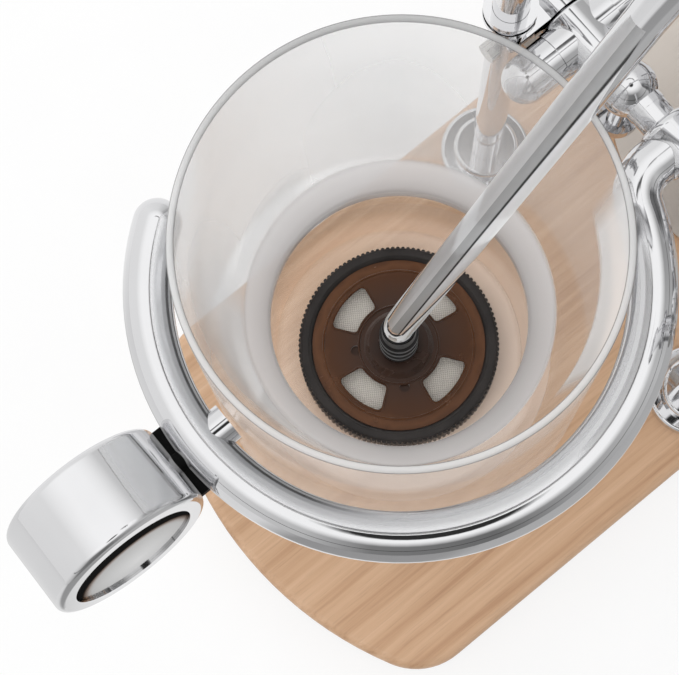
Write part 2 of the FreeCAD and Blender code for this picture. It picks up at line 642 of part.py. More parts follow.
def make_kettle():
    inner = KETTLE_R - KETTLE_WALL
    tall = KETTLE_BODY_H
    pot = turned([(0, 0), (KETTLE_R, 0), (KETTLE_R, tall), (0, tall)], KETTLE_X, 0, KETTLE_Z)
    pot = rounded(pot, KETTLE_BASE_R, lambda e: is_circle(e, KETTLE_R, KETTLE_Z))
    floor_z = KETTLE_Z + KETTLE_WALL
    room = cylinder(inner, V(KETTLE_X, 0, floor_z), UP, tall)
    room = rounded(room, KETTLE_BASE_R - KETTLE_WALL, lambda e: is_circle(e, inner, floor_z))
    save("kettle_body", pot.cut(room))

    bead_at = V(KETTLE_X, 0, BAND_Z + BAND_H)
    bead = pipe(KETTLE_R + BEAD_OUT, KETTLE_R + FIT_CLEAR, bead_at, UP, BEAD_H)
    save("kettle_bead", rounded(bead, BEAD_EDGE_R, lambda e: is_circle(e, KETTLE_R + BEAD_OUT)))

    ceiling = [(inner, COVER_SHOULDER - COVER_WALL / 2), (NECK_BORE_R, COVER_RISE - COVER_WALL)]
    cover = turned(
        [(inner, 0), (KETTLE_R, 0), (KETTLE_R, COVER_SHOULDER), (NECK_R, COVER_RISE),
         (NECK_R, COVER_RISE + NECK_H), (NECK_BORE_R, COVER_RISE + NECK_H)] + ceiling[::-1],
        KETTLE_X, 0, SEAM_Z)
    cover = rounded(cover, COVER_BEND_R, lambda e: is_circle(e, KETTLE_R, SEAM_Z + COVER_SHOULDER))
    under = turned([(0, 0), (inner, 0)] + ceiling + [(0, COVER_RISE - COVER_WALL)],
                   KETTLE_X, 0, SEAM_Z)
    spout_at = V(FILLER_X, 0, SEAM_Z)
    spout = cylinder(FILLER_R, spout_at, UP, FILLER_Z - SEAM_Z).cut(under)
    cover = cover.fuse(spout).cut(cylinder(FILLER_BORE_R, spout_at, UP, FILLER_Z - SEAM_Z))
    save("kettle_cover", cover.removeSplitter())


def make_filler():
    """Screw cap of the filler: a seal, a turned cap and its knob."""
    seat = FILLER_Z + RUN_CLEAR
    save("filler_seal", pipe(FILLER_R, FILLER_BORE_R, V(FILLER_X, 0, seat), UP, CAP_SEAL))
    bore = FILLER_R + RUN_CLEAR
    cap_r = bore + CAP_WALL
    cap = turned([(0, CAP_SEAL), (bore, CAP_SEAL), (bore, -CAP_SKIRT), (cap_r, -CAP_SKIRT),
                  (cap_r, CAP_TOP), (0, CAP_TOP)], FILLER_X, 0, seat)
    save("filler_cap", rounded(cap, CAP_EDGE_R, lambda e: is_circle(e, cap_r, seat + CAP_TOP)))
    foot = V(FILLER_X, 0, seat + CAP_TOP)
    knob = cylinder(KNOB_STEM_R, foot, UP, KNOB_LIFT)
    save("filler_knob", knob.fuse(Part.makeSphere(KNOB_R, foot + UP * KNOB_LIFT)).removeSplitter())


def siphon_point(along, z):
    """Point in the upright plane through the glass axis and the kettle axis."""
    share = along / KETTLE_DIST
    return V(GLASS_X + (KETTLE_X - GLASS_X) * share, GLASS_Y * (1 - share), z)


def siphon_wire():
    """Up out of the kettle, over the arch, down a slope tangent to both bends, into the filter."""
    arch_at = KETTLE_DIST - ARCH_R
    across = arch_at - ELBOW_R
    climb = ARCH_Z - ELBOW_Z
    lean = math.asin((ARCH_R - ELBOW_R) / math.hypot(across, climb))
    slope = math.atan2(climb, across) + lean

    def arch(turn):
        return siphon_point(arch_at + ARCH_R * math.cos(turn), ARCH_Z + ARCH_R * math.sin(turn))

    def elbow(turn):
        return siphon_point(ELBOW_R + ELBOW_R * math.cos(turn), ELBOW_Z + ELBOW_R * math.sin(turn))

    leave = slope + math.pi / 2
    foot = siphon_point(KETTLE_DIST, KETTLE_Z + KETTLE_WALL + TUBE_FOOT_GAP)
    tip = siphon_point(0, COVER_TOP_Z + BUSH_H)
    return Part.Wire([
        Part.LineSegment(foot, arch(0)).toShape(),
        Part.Arc(arch(0), arch(leave / 2), arch(leave)).toShape(),
        Part.LineSegment(arch(leave), elbow(leave)).toShape(),
        Part.Arc(elbow(leave), elbow((leave + math.pi) / 2), elbow(math.pi)).toShape(),
        Part.LineSegment(elbow(math.pi), tip).toShape(),
    ])


def make_siphon():
    wire = siphon_wire()
    save("siphon_tube", sweep(wire, TUBE_R).cut(sweep(wire, TUBE_BORE_R)))

    plug_r = NECK_BORE_R - RUN_CLEAR
    lip_r = NECK_BORE_R + STOPPER_LIP
    stopper = turned(
        [(TUBE_HOLE_R, -STOPPER_IN), (plug_r, -STOPPER_IN), (plug_r, RUN_CLEAR), (lip_r, RUN_CLEAR),
         (lip_r - STOPPER_TAPER, STOPPER_PROUD), (TUBE_HOLE_R, STOPPER_PROUD)], KETTLE_X, 0, NECK_Z)
    save("kettle_stopper", stopper)
    nut_r = TUBE_HOLE_R + STOPPER_NUT_WALL
    nut_at = V(KETTLE_X, 0, NECK_Z + STOPPER_PROUD)
    nut = pipe(nut_r, TUBE_HOLE_R, nut_at, UP, STOPPER_NUT_H)
    nut_top = nut_at.z + STOPPER_NUT_H
    save("stopper_nut", rounded(nut, STOPPER_NUT_EDGE_R, lambda e: is_circle(e, nut_r, nut_top)))


def round_filter(radius, turn, z):
    return V(GLASS_X + radius * math.cos(turn), GLASS_Y + radius * math.sin(turn), z)


def toothed_face(z):
    """Disc outline with fine teeth round the outside."""
    corners = []
    for step in range(2 * TEETH):
        radius = FILTER_R if step % 2 == 0 else FILTER_R - TOOTH_DEPTH
        corners.append(round_filter(radius, math.pi * step / TEETH, z))
    return Part.Face(Part.makePolygon(corners + [corners[0]]))


def window_cutter(turn):
    """Rounded sector that opens one window of the filter cover."""
    low = COVER_TOP_Z - 2 * COVER_THICK
    tall = 4 * COVER_THICK
    centre = V(GLASS_X, GLASS_Y, low)
    half = math.radians(WINDOW_SPAN / 2)
    reach = 2 * WINDOW_OUT_R
    sides = [round_filter(reach, half, low), round_filter(reach, -half, low)]
    wedge = Part.Face(Part.makePolygon([centre] + sides + [centre])).extrude(V(0, 0, tall))
    window = pipe(WINDOW_OUT_R, WINDOW_IN_R, centre, UP, tall).common(wedge)
    window = rounded(window, WINDOW_FILLET, lambda e: e.BoundBox.ZLength > COVER_THICK)
    window.rotate(centre, UP, turn)
    return window


def make_filter():
    middle = V(GLASS_X, GLASS_Y, FILTER_Z)
    rim = toothed_face(FILTER_Z).extrude(V(0, 0, FILTER_H))
    save("filter_rim", rim.cut(cylinder(RIM_INNER_R, middle, UP, FILTER_H)))

    disc_r = RIM_INNER_R - FIT_CLEAR
    low = COVER_TOP_Z - COVER_THICK
    top = COVER_THICK + BUSH_H
    cover = turned(
        [(BUSH_BORE_R, 0), (disc_r, 0), (disc_r, COVER_THICK), (BUSH_R, COVER_THICK),
         (BUSH_R - BUSH_TAPER, top), (BUSH_BORE_R, top)], GLASS_X, GLASS_Y, low)
    for step in range(WINDOWS):
        cover = cover.cut(window_cutter(WINDOW_TURN + step * WINDOW_STEP))
    for side in (1, -1):
        turn = math.radians(WINDOW_TURN + (1 + side / 2) * WINDOW_STEP)
        at = round_filter(side * (WINDOW_IN_R + DIMPLE_IN), turn, low + COVER_THICK / 2)
        cover = cover.cut(cylinder(DIMPLE_R, at, UP, COVER_THICK))
    save("filter_cover", cover)

    mesh_z = low - MESH_THICK
    save("filter_mesh", pipe(disc_r, BUSH_BORE_R, V(GLASS_X, GLASS_Y, mesh_z), UP, MESH_THICK))
    screen_z = mesh_z - SCREEN_THICK
    screen = cylinder(disc_r, V(GLASS_X, GLASS_Y, screen_z), UP, SCREEN_THICK)
    for ring in range(1, int((disc_r - SCREEN_HOLE_R) / SCREEN_PITCH) + 1):
        for step in range(6 * ring):
            at = round_filter(ring * SCREEN_PITCH, math.pi * step / (3 * ring), screen_z)
            screen = screen.cut(cylinder(SCREEN_HOLE_R, at, UP, SCREEN_THICK))
    save("filter_screen", screen)

    sock_at = V(GLASS_X, GLASS_Y, mesh_z)
    save("filter_sleeve", pipe(SOCK_R, TUBE_HOLE_R, sock_at, UP, ELBOW_Z - mesh_z))


def make_burner():
    mouth = LID_R - BURNER_WALL
    shoulder = BURNER_SHOULDER_H
    pot = turned([(0, 0), (BURNER_R, 0), (BURNER_R, shoulder), (LID_R, BURNER_H), (0, BURNER_H)],
                 KETTLE_X, 0, BURNER_Z)
    pot = rounded(pot, BURNER_EDGE_R, lambda e: is_circle(e, BURNER_R, BURNER_Z + shoulder))
    room_r = BURNER_R - BURNER_WALL
    ceiling = shoulder - BURNER_WALL
    room = turned(
        [(0, BURNER_WALL), (room_r, BURNER_WALL), (room_r, ceiling), (mouth, BURNER_H - BURNER_WALL),
         (mouth, BURNER_H), (0, BURNER_H)], KETTLE_X, 0, BURNER_Z)
    room = rounded(room, BURNER_EDGE_R, lambda e: is_circle(e, room_r, BURNER_Z + ceiling))
    save("burner_pot", pot.cut(room))

    lid_at = V(KETTLE_X, 0, LID_Z)
    lid = cylinder(LID_R, lid_at, UP, LID_H)
    lid = rounded(lid, LID_EDGE_R, lambda e: is_circle(e, LID_R, LID_TOP_Z))
    for side in (1, -1):
        inner = side * (HINGE_LEN / 2 + RUN_CLEAR)
        y0 = min(inner, inner + side * EAR_THICK)
        ear = cylinder(HINGE_R, V(HINGE_X, y0, HINGE_Z), ALONG_Y, EAR_THICK)
        stem_at = V(HINGE_X - HINGE_R, y0, LID_Z + LID_H / 2)
        stem = Part.makeBox(2 * HINGE_R, EAR_THICK, HINGE_Z - stem_at.z, stem_at)
        lid = lid.fuse(ear.fuse(stem))
    lid = lid.cut(cylinder(WICK_TUBE_R + FIT_CLEAR, lid_at, UP, LID_H))
    save("burner_lid", lid.cut(hinge_bar(HINGE_PIN_R + FIT_CLEAR, HINGE_LEN)).removeSplitter())
    save("snuffer_pin", hinge_bar(HINGE_PIN_R, HINGE_LEN / 2 + RUN_CLEAR + EAR_THICK))

    tube_at = V(KETTLE_X, 0, LID_Z - WICK_TUBE_H)
    tube_len = WICK_TUBE_H + LID_H + WICK_TUBE_H
    save("wick_tube", pipe(WICK_TUBE_R, WICK_R + FIT_CLEAR, tube_at, UP, tube_len))
    wick_foot = BURNER_Z + 2 * BURNER_WALL
    wick_top = tube_at.z + tube_len + WICK_PROUD
    wick = cylinder(WICK_R, V(KETTLE_X, 0, wick_foot), UP, wick_top - wick_foot)
    save("wick", rounded(wick, WICK_EDGE_R, lambda e: is_circle(e, WICK_R, wick_top)))


def hinge_bar(radius, reach):
    """Round bar on the axis of the snuffer's hinge."""
    return cylinder(radius, V(HINGE_X, -reach, HINGE_Z), ALONG_Y, 2 * reach)


def make_snuffer():
    """Hinged cap that drops over the wick."""
    tall = SNUFF_H + SNUFF_WALL
    cap_at = V(KETTLE_X, 0, SNUFF_Z)
    cap = cylinder(SNUFF_R, cap_at, UP, tall)
    cap = rounded(cap, SNUFF_EDGE_R, lambda e: is_circle(e, SNUFF_R, SNUFF_Z + tall))
    link_x = KETTLE_X + SNUFF_ROOM_R
    link_wide = HINGE_LEN - 2 * LINK_INSET
    link_at = V(link_x, -link_wide / 2, HINGE_Z)
    link = Part.makeBox(HINGE_X - link_x, link_wide, LINK_H, link_at)
    snuffer = cap.fuse(hinge_bar(HINGE_R, HINGE_LEN / 2)).fuse(link)
    snuffer = snuffer.cut(cylinder(SNUFF_ROOM_R, cap_at, UP, SNUFF_H))
    save("snuffer", snuffer.cut(hinge_bar(HINGE_PIN_R + SHAFT_CLEAR, HINGE_LEN)).removeSplitter())


def main():
    os.makedirs("parts", exist_ok=True)
    make_base()
    for side, name in ((1, "far"), (-1, "near")):
        make_post(side, name)
        make_bearing(side, name)
    make_screws()
    make_glass()
    make_axle_group()
    make_yoke()
    make_ring_arm()
    make_counterweight()
    make_kettle()
    make_filler()
    make_siphon()
    make_filter()
    make_burner()
    make_snuffer()


main()
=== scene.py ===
import json
import math

import bpy
from mathutils import Matrix, Vector


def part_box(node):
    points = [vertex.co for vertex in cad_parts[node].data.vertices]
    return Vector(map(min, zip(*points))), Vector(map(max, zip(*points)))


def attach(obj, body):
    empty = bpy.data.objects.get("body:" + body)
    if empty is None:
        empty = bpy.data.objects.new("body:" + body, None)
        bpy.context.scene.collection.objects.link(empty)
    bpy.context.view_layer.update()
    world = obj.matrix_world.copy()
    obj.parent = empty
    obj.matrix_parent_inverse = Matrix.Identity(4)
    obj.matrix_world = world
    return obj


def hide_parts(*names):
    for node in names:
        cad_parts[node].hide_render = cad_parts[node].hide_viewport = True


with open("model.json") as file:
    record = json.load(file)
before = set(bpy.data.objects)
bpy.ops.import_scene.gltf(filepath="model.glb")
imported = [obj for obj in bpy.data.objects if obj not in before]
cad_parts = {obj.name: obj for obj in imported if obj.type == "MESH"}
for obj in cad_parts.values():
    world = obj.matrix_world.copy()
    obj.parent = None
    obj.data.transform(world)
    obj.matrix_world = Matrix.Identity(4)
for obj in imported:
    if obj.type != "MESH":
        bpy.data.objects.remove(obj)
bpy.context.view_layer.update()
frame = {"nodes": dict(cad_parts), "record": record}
nodes = frame["nodes"]

MM = 0.001
SHARP_ANGLE = math.radians(38)
ON_AXIS_R = 1e-6

# Photograph: frame width and focal length in pixels, and where the camera stands and how it is turned
PHOTO_WIDTH = 679
FOCAL_PIXELS = 1800.0
SENSOR_MM = 36.0
CAMERA_AT = Vector((-112.2, -46.8, 492.7)) * MM
CAMERA_RIGHT = Vector((0.7752, -0.6311, -0.0295))
CAMERA_UP = Vector((0.6255, 0.7600, 0.1767))

# Studio floor in metres: middle of its grey panels, the round close by with its soft edge, half its width,
# and how far its own glow covers its shadows
PANELS_AT = Vector((-81.0, 17.0, 0.0)) * MM
CLOSE_BY_R = 0.095
CLOSE_BY_FADE = 0.035
FLOOR_REACH = 3.0
FLOOR_GLOW = 0.8

# Dark spot overhead, as the level part of its direction
DARK_SPOT_AT = Vector((-0.05, -0.14))

# Glass vessel in millimetres, heights from its foot, and bearings in degrees about its axis from +x
RIM_ROUND = 0.7
CUP_WALL = 1.5
WELL_R = 30.7
WELL_H = 52.0
LEDGE_R = 36.4
LEDGE_H = 59.0
LEDGE_ROUND = 4.2
FLOOR_R = 32.3
FLOOR_H = 5.0
FLOOR_ROUND = 1.6
BELLY_R = 48.1
BELLY_H = 22.0
BELLY_ROUND = 13.2
FOOT_R = 37.0
FOOT_ROUND = 2.2
FOOT_LIFT = 0.15
# Where painted light, shade and reflections sit on the glass: the rim band, the bright blade, the lit side,
# the shaded side of the rim, the low cloud, the mirrored dark line and the mirrored streaks
LIP_H = 0.9
LIP_FADE = 0.3
BLADE_DROP = 28.0
BLADE_FADE = 4.0
LIT_BEARING = 100.0
LIP_SHADE_BEARING = 55.0
BLADE_BEARING = -52.0
LOW_CLOUD_BEARING = 120.0
MIRROR_EDGE = 171.0
STREAKS_BEARING = 165.0
STREAKS_FROM = 88.0
STREAKS_TO = 98.0

# Filter in millimetres and degrees
RIM_WIDTH = 3.6
RIM_FOOT_ROUND = 0.4
RIM_TOP_ROUND = 0.7
RIM_SLOPE_WIDTH = 0.9
RIM_SLOPE_DEEP = 1.4
RIM_SLOPE_ROUND = 0.5
RIB_DEEP = 0.55
RIB_DROP = 0.3
RIB_SHORT = 1.2
RIBS_ROUND = 120
COVER_SINK = 1.0
WINDOWS = 4
WINDOW_TURN = 13.5
WINDOW_SPAN = 46.0
WINDOW_IN_R = 11.0
WINDOW_OUT_R = 18.2
WINDOW_ROUND = 1.4
LIP_R = 0.32
LIP_STEPS = 96
INNER_LIP_GAP = 0.7
OUTER_LIP_GAP = 1.3
BUSH_H = 2.4
SLEEVE_RINGS = 3
SLEEVE_RING_DEEP = 0.6
SLEEVE_RING_ROUND = 0.2
SLEEVE_PLAIN_H = 5.0
SLEEVE_BEVEL_H = 0.6
SLEEVE_TOP_WALL = 0.3

# Siphon tube in millimetres
TUBE_R = 3.9
# Heights over which the tube's painted brighter reflection fades out
TUBE_BRIGHT_Z = 62.0
TUBE_PLAIN_Z = 105.0

# Counterweight in millimetres
RING_R = 54.8
RING_TUBE_R = 5.5
DRUM_GAP = 1.5
DRUM_R = 19.2
STRIP_INSET = 0.8
STRIP_TOP = 0.0
COLLAR_R = 2.15
STRIP_BITE = 0.05
# How far below the middle of the drum's inlay its painted shade is centred
DISC_SHADE_DROP = 5.5

# Places read from the frame
glass_low, glass_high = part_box("glass_cup")
foot_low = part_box("glass_jacket")[0]
GLASS_AT = Vector(((glass_low.x + glass_high.x) / 2, (glass_low.y + glass_high.y) / 2, foot_low.z))
GLASS_H = (glass_high.z - foot_low.z) / MM
RIM_R = (glass_high.x - glass_low.x) / 2 / MM

# Surface between the cup and its jacket in millimetres: radius at the foot, half its soft edge,
# and how it widens with height
CUP_SPLIT_R = 39.7
CUP_SPLIT_FADE = 0.2
CUP_LEAN = 0.039

# Sockets of a colour Mix node: factor, the two colours, and the result
MIX_FAC = 0
MIX_FIRST = 6
MIX_SECOND = 7
MIX_RESULT = 2


# Node helpers

def add(tree, kind, **settings):
    """New node; settings are its own properties."""
    made = tree.nodes.new(kind)
    for name, value in settings.items():
        setattr(made, name, value)
    return made


def put(node, **values):
    """Set input sockets by name, with underscores for spaces."""
    for name, value in values.items():
        node.inputs[name.replace("_", " ")].default_value = value
    return node


def ramp(tree, fac, stops):
    """Colour from a ramp of (position, colour) stops."""
    made = add(tree, "ShaderNodeValToRGB")
    elements = made.color_ramp.elements
    while len(elements) < len(stops):
        elements.new(1.0)
    for element, (position, colour) in zip(elements, stops):
        element.position = position
        element.color = (*colour, 1.0)
    tree.links.new(fac, made.inputs["Fac"])
    return made.outputs["Color"]


def grey(value):
    return (value, value, value)


def spread(tree, value, low, high, to_low, to_high):
    """Map a value from one range to another."""
    made = add(tree, "ShaderNodeMapRange")
    put(made, From_Min=low, From_Max=high, To_Min=to_low, To_Max=to_high)
    tree.links.new(value, made.inputs["Value"])
    return made.outputs["Result"]


def maths(tree, operation, first, second=None):
    made = add(tree, "ShaderNodeMath", operation=operation)
    for socket, value in zip(made.inputs, (first, second)):
        if isinstance(value, bpy.types.NodeSocket):
            tree.links.new(value, socket)
        elif value is not None:
            socket.default_value = value
    return made.outputs[0]


def distance(tree, first, second):
    """Length of a step along two axes."""
    squares = [maths(tree, "POWER", part, 2.0) for part in (first, second)]
    return maths(tree, "SQRT", maths(tree, "ADD", *squares))


def compass(tree, x, y):
    """Bearing about the upright axis, from 0 to 1, with 0.5 at +x and 0.75 at +y."""
    return spread(tree, maths(tree, "ARCTAN2", y, x), -math.pi, math.pi, 0.0, 1.0)


def axes(tree, vector):
    """The three parts of a vector."""
    made = add(tree, "ShaderNodeSeparateXYZ")
    tree.links.new(vector, made.inputs["Vector"])
    return made.outputs["X"], made.outputs["Y"], made.outputs["Z"]


def blended(tree, fac, first, second, kind="MIX"):
    """Two colours mixed by a factor; each of the three is a socket or a plain value."""
    made = add(tree, "ShaderNodeMix", data_type="RGBA", blend_type=kind)
    for index, value in ((MIX_FAC, fac), (MIX_FIRST, first), (MIX_SECOND, second)):
        socket = made.inputs[index]
        if isinstance(value, bpy.types.NodeSocket):
            tree.links.new(value, socket)
        else:
            socket.default_value = value if index == MIX_FAC else (*value, 1.0)
    return made.outputs[MIX_RESULT]


def mirrored_as(tree, colour, mirrored):
    """The colour itself, and another colour shown only where a mirroring surface shows it: a painted
    reflection.
    """
    glossy = add(tree, "ShaderNodeLightPath").outputs["Is Glossy Ray"]
    return blended(tree, glossy, colour, mirrored)


def noise(tree, vector, detail=4.0, roughness=0.5, distortion=0.0):
    made = add(tree, "ShaderNodeTexNoise")
    put(made, Scale=1.0, Detail=detail, Roughness=roughness, Distortion=distortion)
    tree.links.new(vector, made.inputs["Vector"])
    return made.outputs["Fac"]


def bump(tree, height, strength, deep):
    made = add(tree, "ShaderNodeBump")
    put(made, Strength=strength, Distance=deep)
    tree.links.new(height, made.inputs["Height"])
    return made.outputs["Normal"]


def stretched(tree, scale, location=(0, 0, 0)):
    """Object coordinates, scaled and moved."""
    coords = add(tree, "ShaderNodeTexCoord")
    made = add(tree, "ShaderNodeMapping")
    put(made, Scale=scale, Location=location)
    tree.links.new(coords.outputs["Object"], made.inputs["Vector"])
    return made.outputs["Vector"]


def new_material(name):
    material = bpy.data.materials.new(name)
    material.use_nodes = True
    tree = material.node_tree
    return material, tree, tree.nodes["Principled BSDF"]


# Finishes

def beech():
    """Light wood with long fine grain along the base."""
    material, tree, shader = new_material("beech")
    broad = noise(tree, stretched(tree, (5.0, 70.0, 70.0)), detail=4.0, roughness=0.5, distortion=0.5)
    lines = noise(tree, stretched(tree, (7.0, 330.0, 330.0)), detail=3.0, roughness=0.6, distortion=0.3)
    fine = noise(tree, stretched(tree, (30.0, 1000.0, 1000.0)), detail=3.0)
    pores = noise(tree, stretched(tree, (90.0, 2200.0, 2200.0)), detail=2.0)
    streaks = maths(tree, "ADD", maths(tree, "MULTIPLY", lines, 0.42), maths(tree, "MULTIPLY", fine, 0.18))
    mixed = maths(tree, "ADD", maths(tree, "MULTIPLY", broad, 0.40), streaks)
    colour = ramp(tree, mixed, [
        (0.36, (0.430, 0.240, 0.130)), (0.46, (0.545, 0.335, 0.198)),
        (0.56, (0.615, 0.395, 0.246)), (0.66, (0.690, 0.470, 0.310))])
    flecks = ramp(tree, pores, [(0.34, grey(0.86)), (0.44, grey(1.0))])
    tree.links.new(blended(tree, 0.6, colour, flecks, "MULTIPLY"), shader.inputs["Base Color"])
    tree.links.new(spread(tree, fine, 0.3, 0.7, 0.38, 0.52), shader.inputs["Roughness"])
    tree.links.new(bump(tree, pores, 0.15, 0.0003), shader.inputs["Normal"])
    return material


def metal(name, colour, rough_low, rough_high, stretch, scratch):
    """Metal whose polish varies a little; stretch makes brush marks."""
    material, tree, shader = new_material(name)
    cloud = noise(tree, stretched(tree, (70.0, 70.0, 70.0)), detail=3.0)
    lines = noise(tree, stretched(tree, stretch), detail=3.0)
    tint = ramp(tree, cloud, [(0.3, tuple(0.97 * c for c in colour)), (0.7, colour)])
    tree.links.new(tint, shader.inputs["Base Color"])
    tree.links.new(spread(tree, lines, 0.3, 0.7, rough_low, rough_high), shader.inputs["Roughness"])
    tree.links.new(bump(tree, lines, scratch, 0.0001), shader.inputs["Normal"])
    put(shader, Metallic=1.0)
    return material


def chrome():
    return metal("chrome", (0.76, 0.76, 0.77), 0.02, 0.06, (900.0, 900.0, 900.0), 0.01)


def tube_chrome():
    """Chrome of the siphon tube, with a painted brighter reflection towards its foot, where its colour is
    lighter.
    """
    material, tree, shader = new_material("tube chrome")
    z = axes(tree, stretched(tree, grey(1.0 / MM)))[2]
    cloud = noise(tree, stretched(tree, grey(70.0)), detail=3.0)
    height = maths(tree, "ADD", z, maths(tree, "MULTIPLY", cloud, 6.0))
    # Painted brighter reflection: lighter colour low on the tube
    tint = ramp(tree, spread(tree, height, TUBE_BRIGHT_Z, TUBE_PLAIN_Z, 0.0, 1.0), [
        (0.0, grey(0.98)), (1.0, (0.76, 0.76, 0.77))])
    tree.links.new(tint, shader.inputs["Base Color"])
    tree.links.new(spread(tree, cloud, 0.3, 0.7, 0.02, 0.06), shader.inputs["Roughness"])
    put(shader, Metallic=1.0)
    return material


def steel():
    return metal("brushed steel", (0.60, 0.59, 0.57), 0.24, 0.38, (60.0, 2600.0, 2600.0), 0.06)


def warm_plate():
    return metal("heat plate", (0.76, 0.70, 0.64), 0.34, 0.50, (60.0, 2600.0, 2600.0), 0.05)


def disc_mirror():
    """Polished inlay of the drum, with painted shade: grey low down, and a painted dark reflection along its
    upper edge, where it would mirror its own recess.
    """
    material, tree, shader = new_material("drum inlay")
    low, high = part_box("drum_discs")
    middle = (low + high) / 2 / MM
    radius = (high.x - low.x) / 2 / MM
    shade_from = Vector((-middle.x, 0, DISC_SHADE_DROP - middle.z))
    x, _, z = axes(tree, stretched(tree, grey(1.0 / MM), location=shade_from))
    cloud = noise(tree, stretched(tree, grey(90.0)), detail=3.0)
    place = maths(tree, "ADD", distance(tree, x, z), maths(tree, "MULTIPLY", cloud, 0.8))
    # Painted shade and reflection: grey fading to brown and black towards the upper edge
    tint = ramp(tree, spread(tree, place, 0.0, 2 * radius, 0.0, 1.0), [
        (0.0, grey(0.58)), (0.25, grey(0.44)), (0.42, (0.34, 0.335, 0.33)), (0.47, (0.13, 0.075, 0.045)),
        (0.51, grey(0.012)), (1.0, grey(0.012))])
    tree.links.new(tint, shader.inputs["Base Color"])
    tree.links.new(spread(tree, cloud, 0.3, 0.7, 0.06, 0.12), shader.inputs["Roughness"])
    tree.links.new(spread(tree, place, 0.90 * radius, radius, 1.0, 0.0), shader.inputs["Metallic"])
    put(shader, Specular_IOR_Level=0.0)
    return material


def brass():
    return metal("brass", (0.72, 0.53, 0.25), 0.18, 0.32, (300.0, 300.0, 2000.0), 0.04)


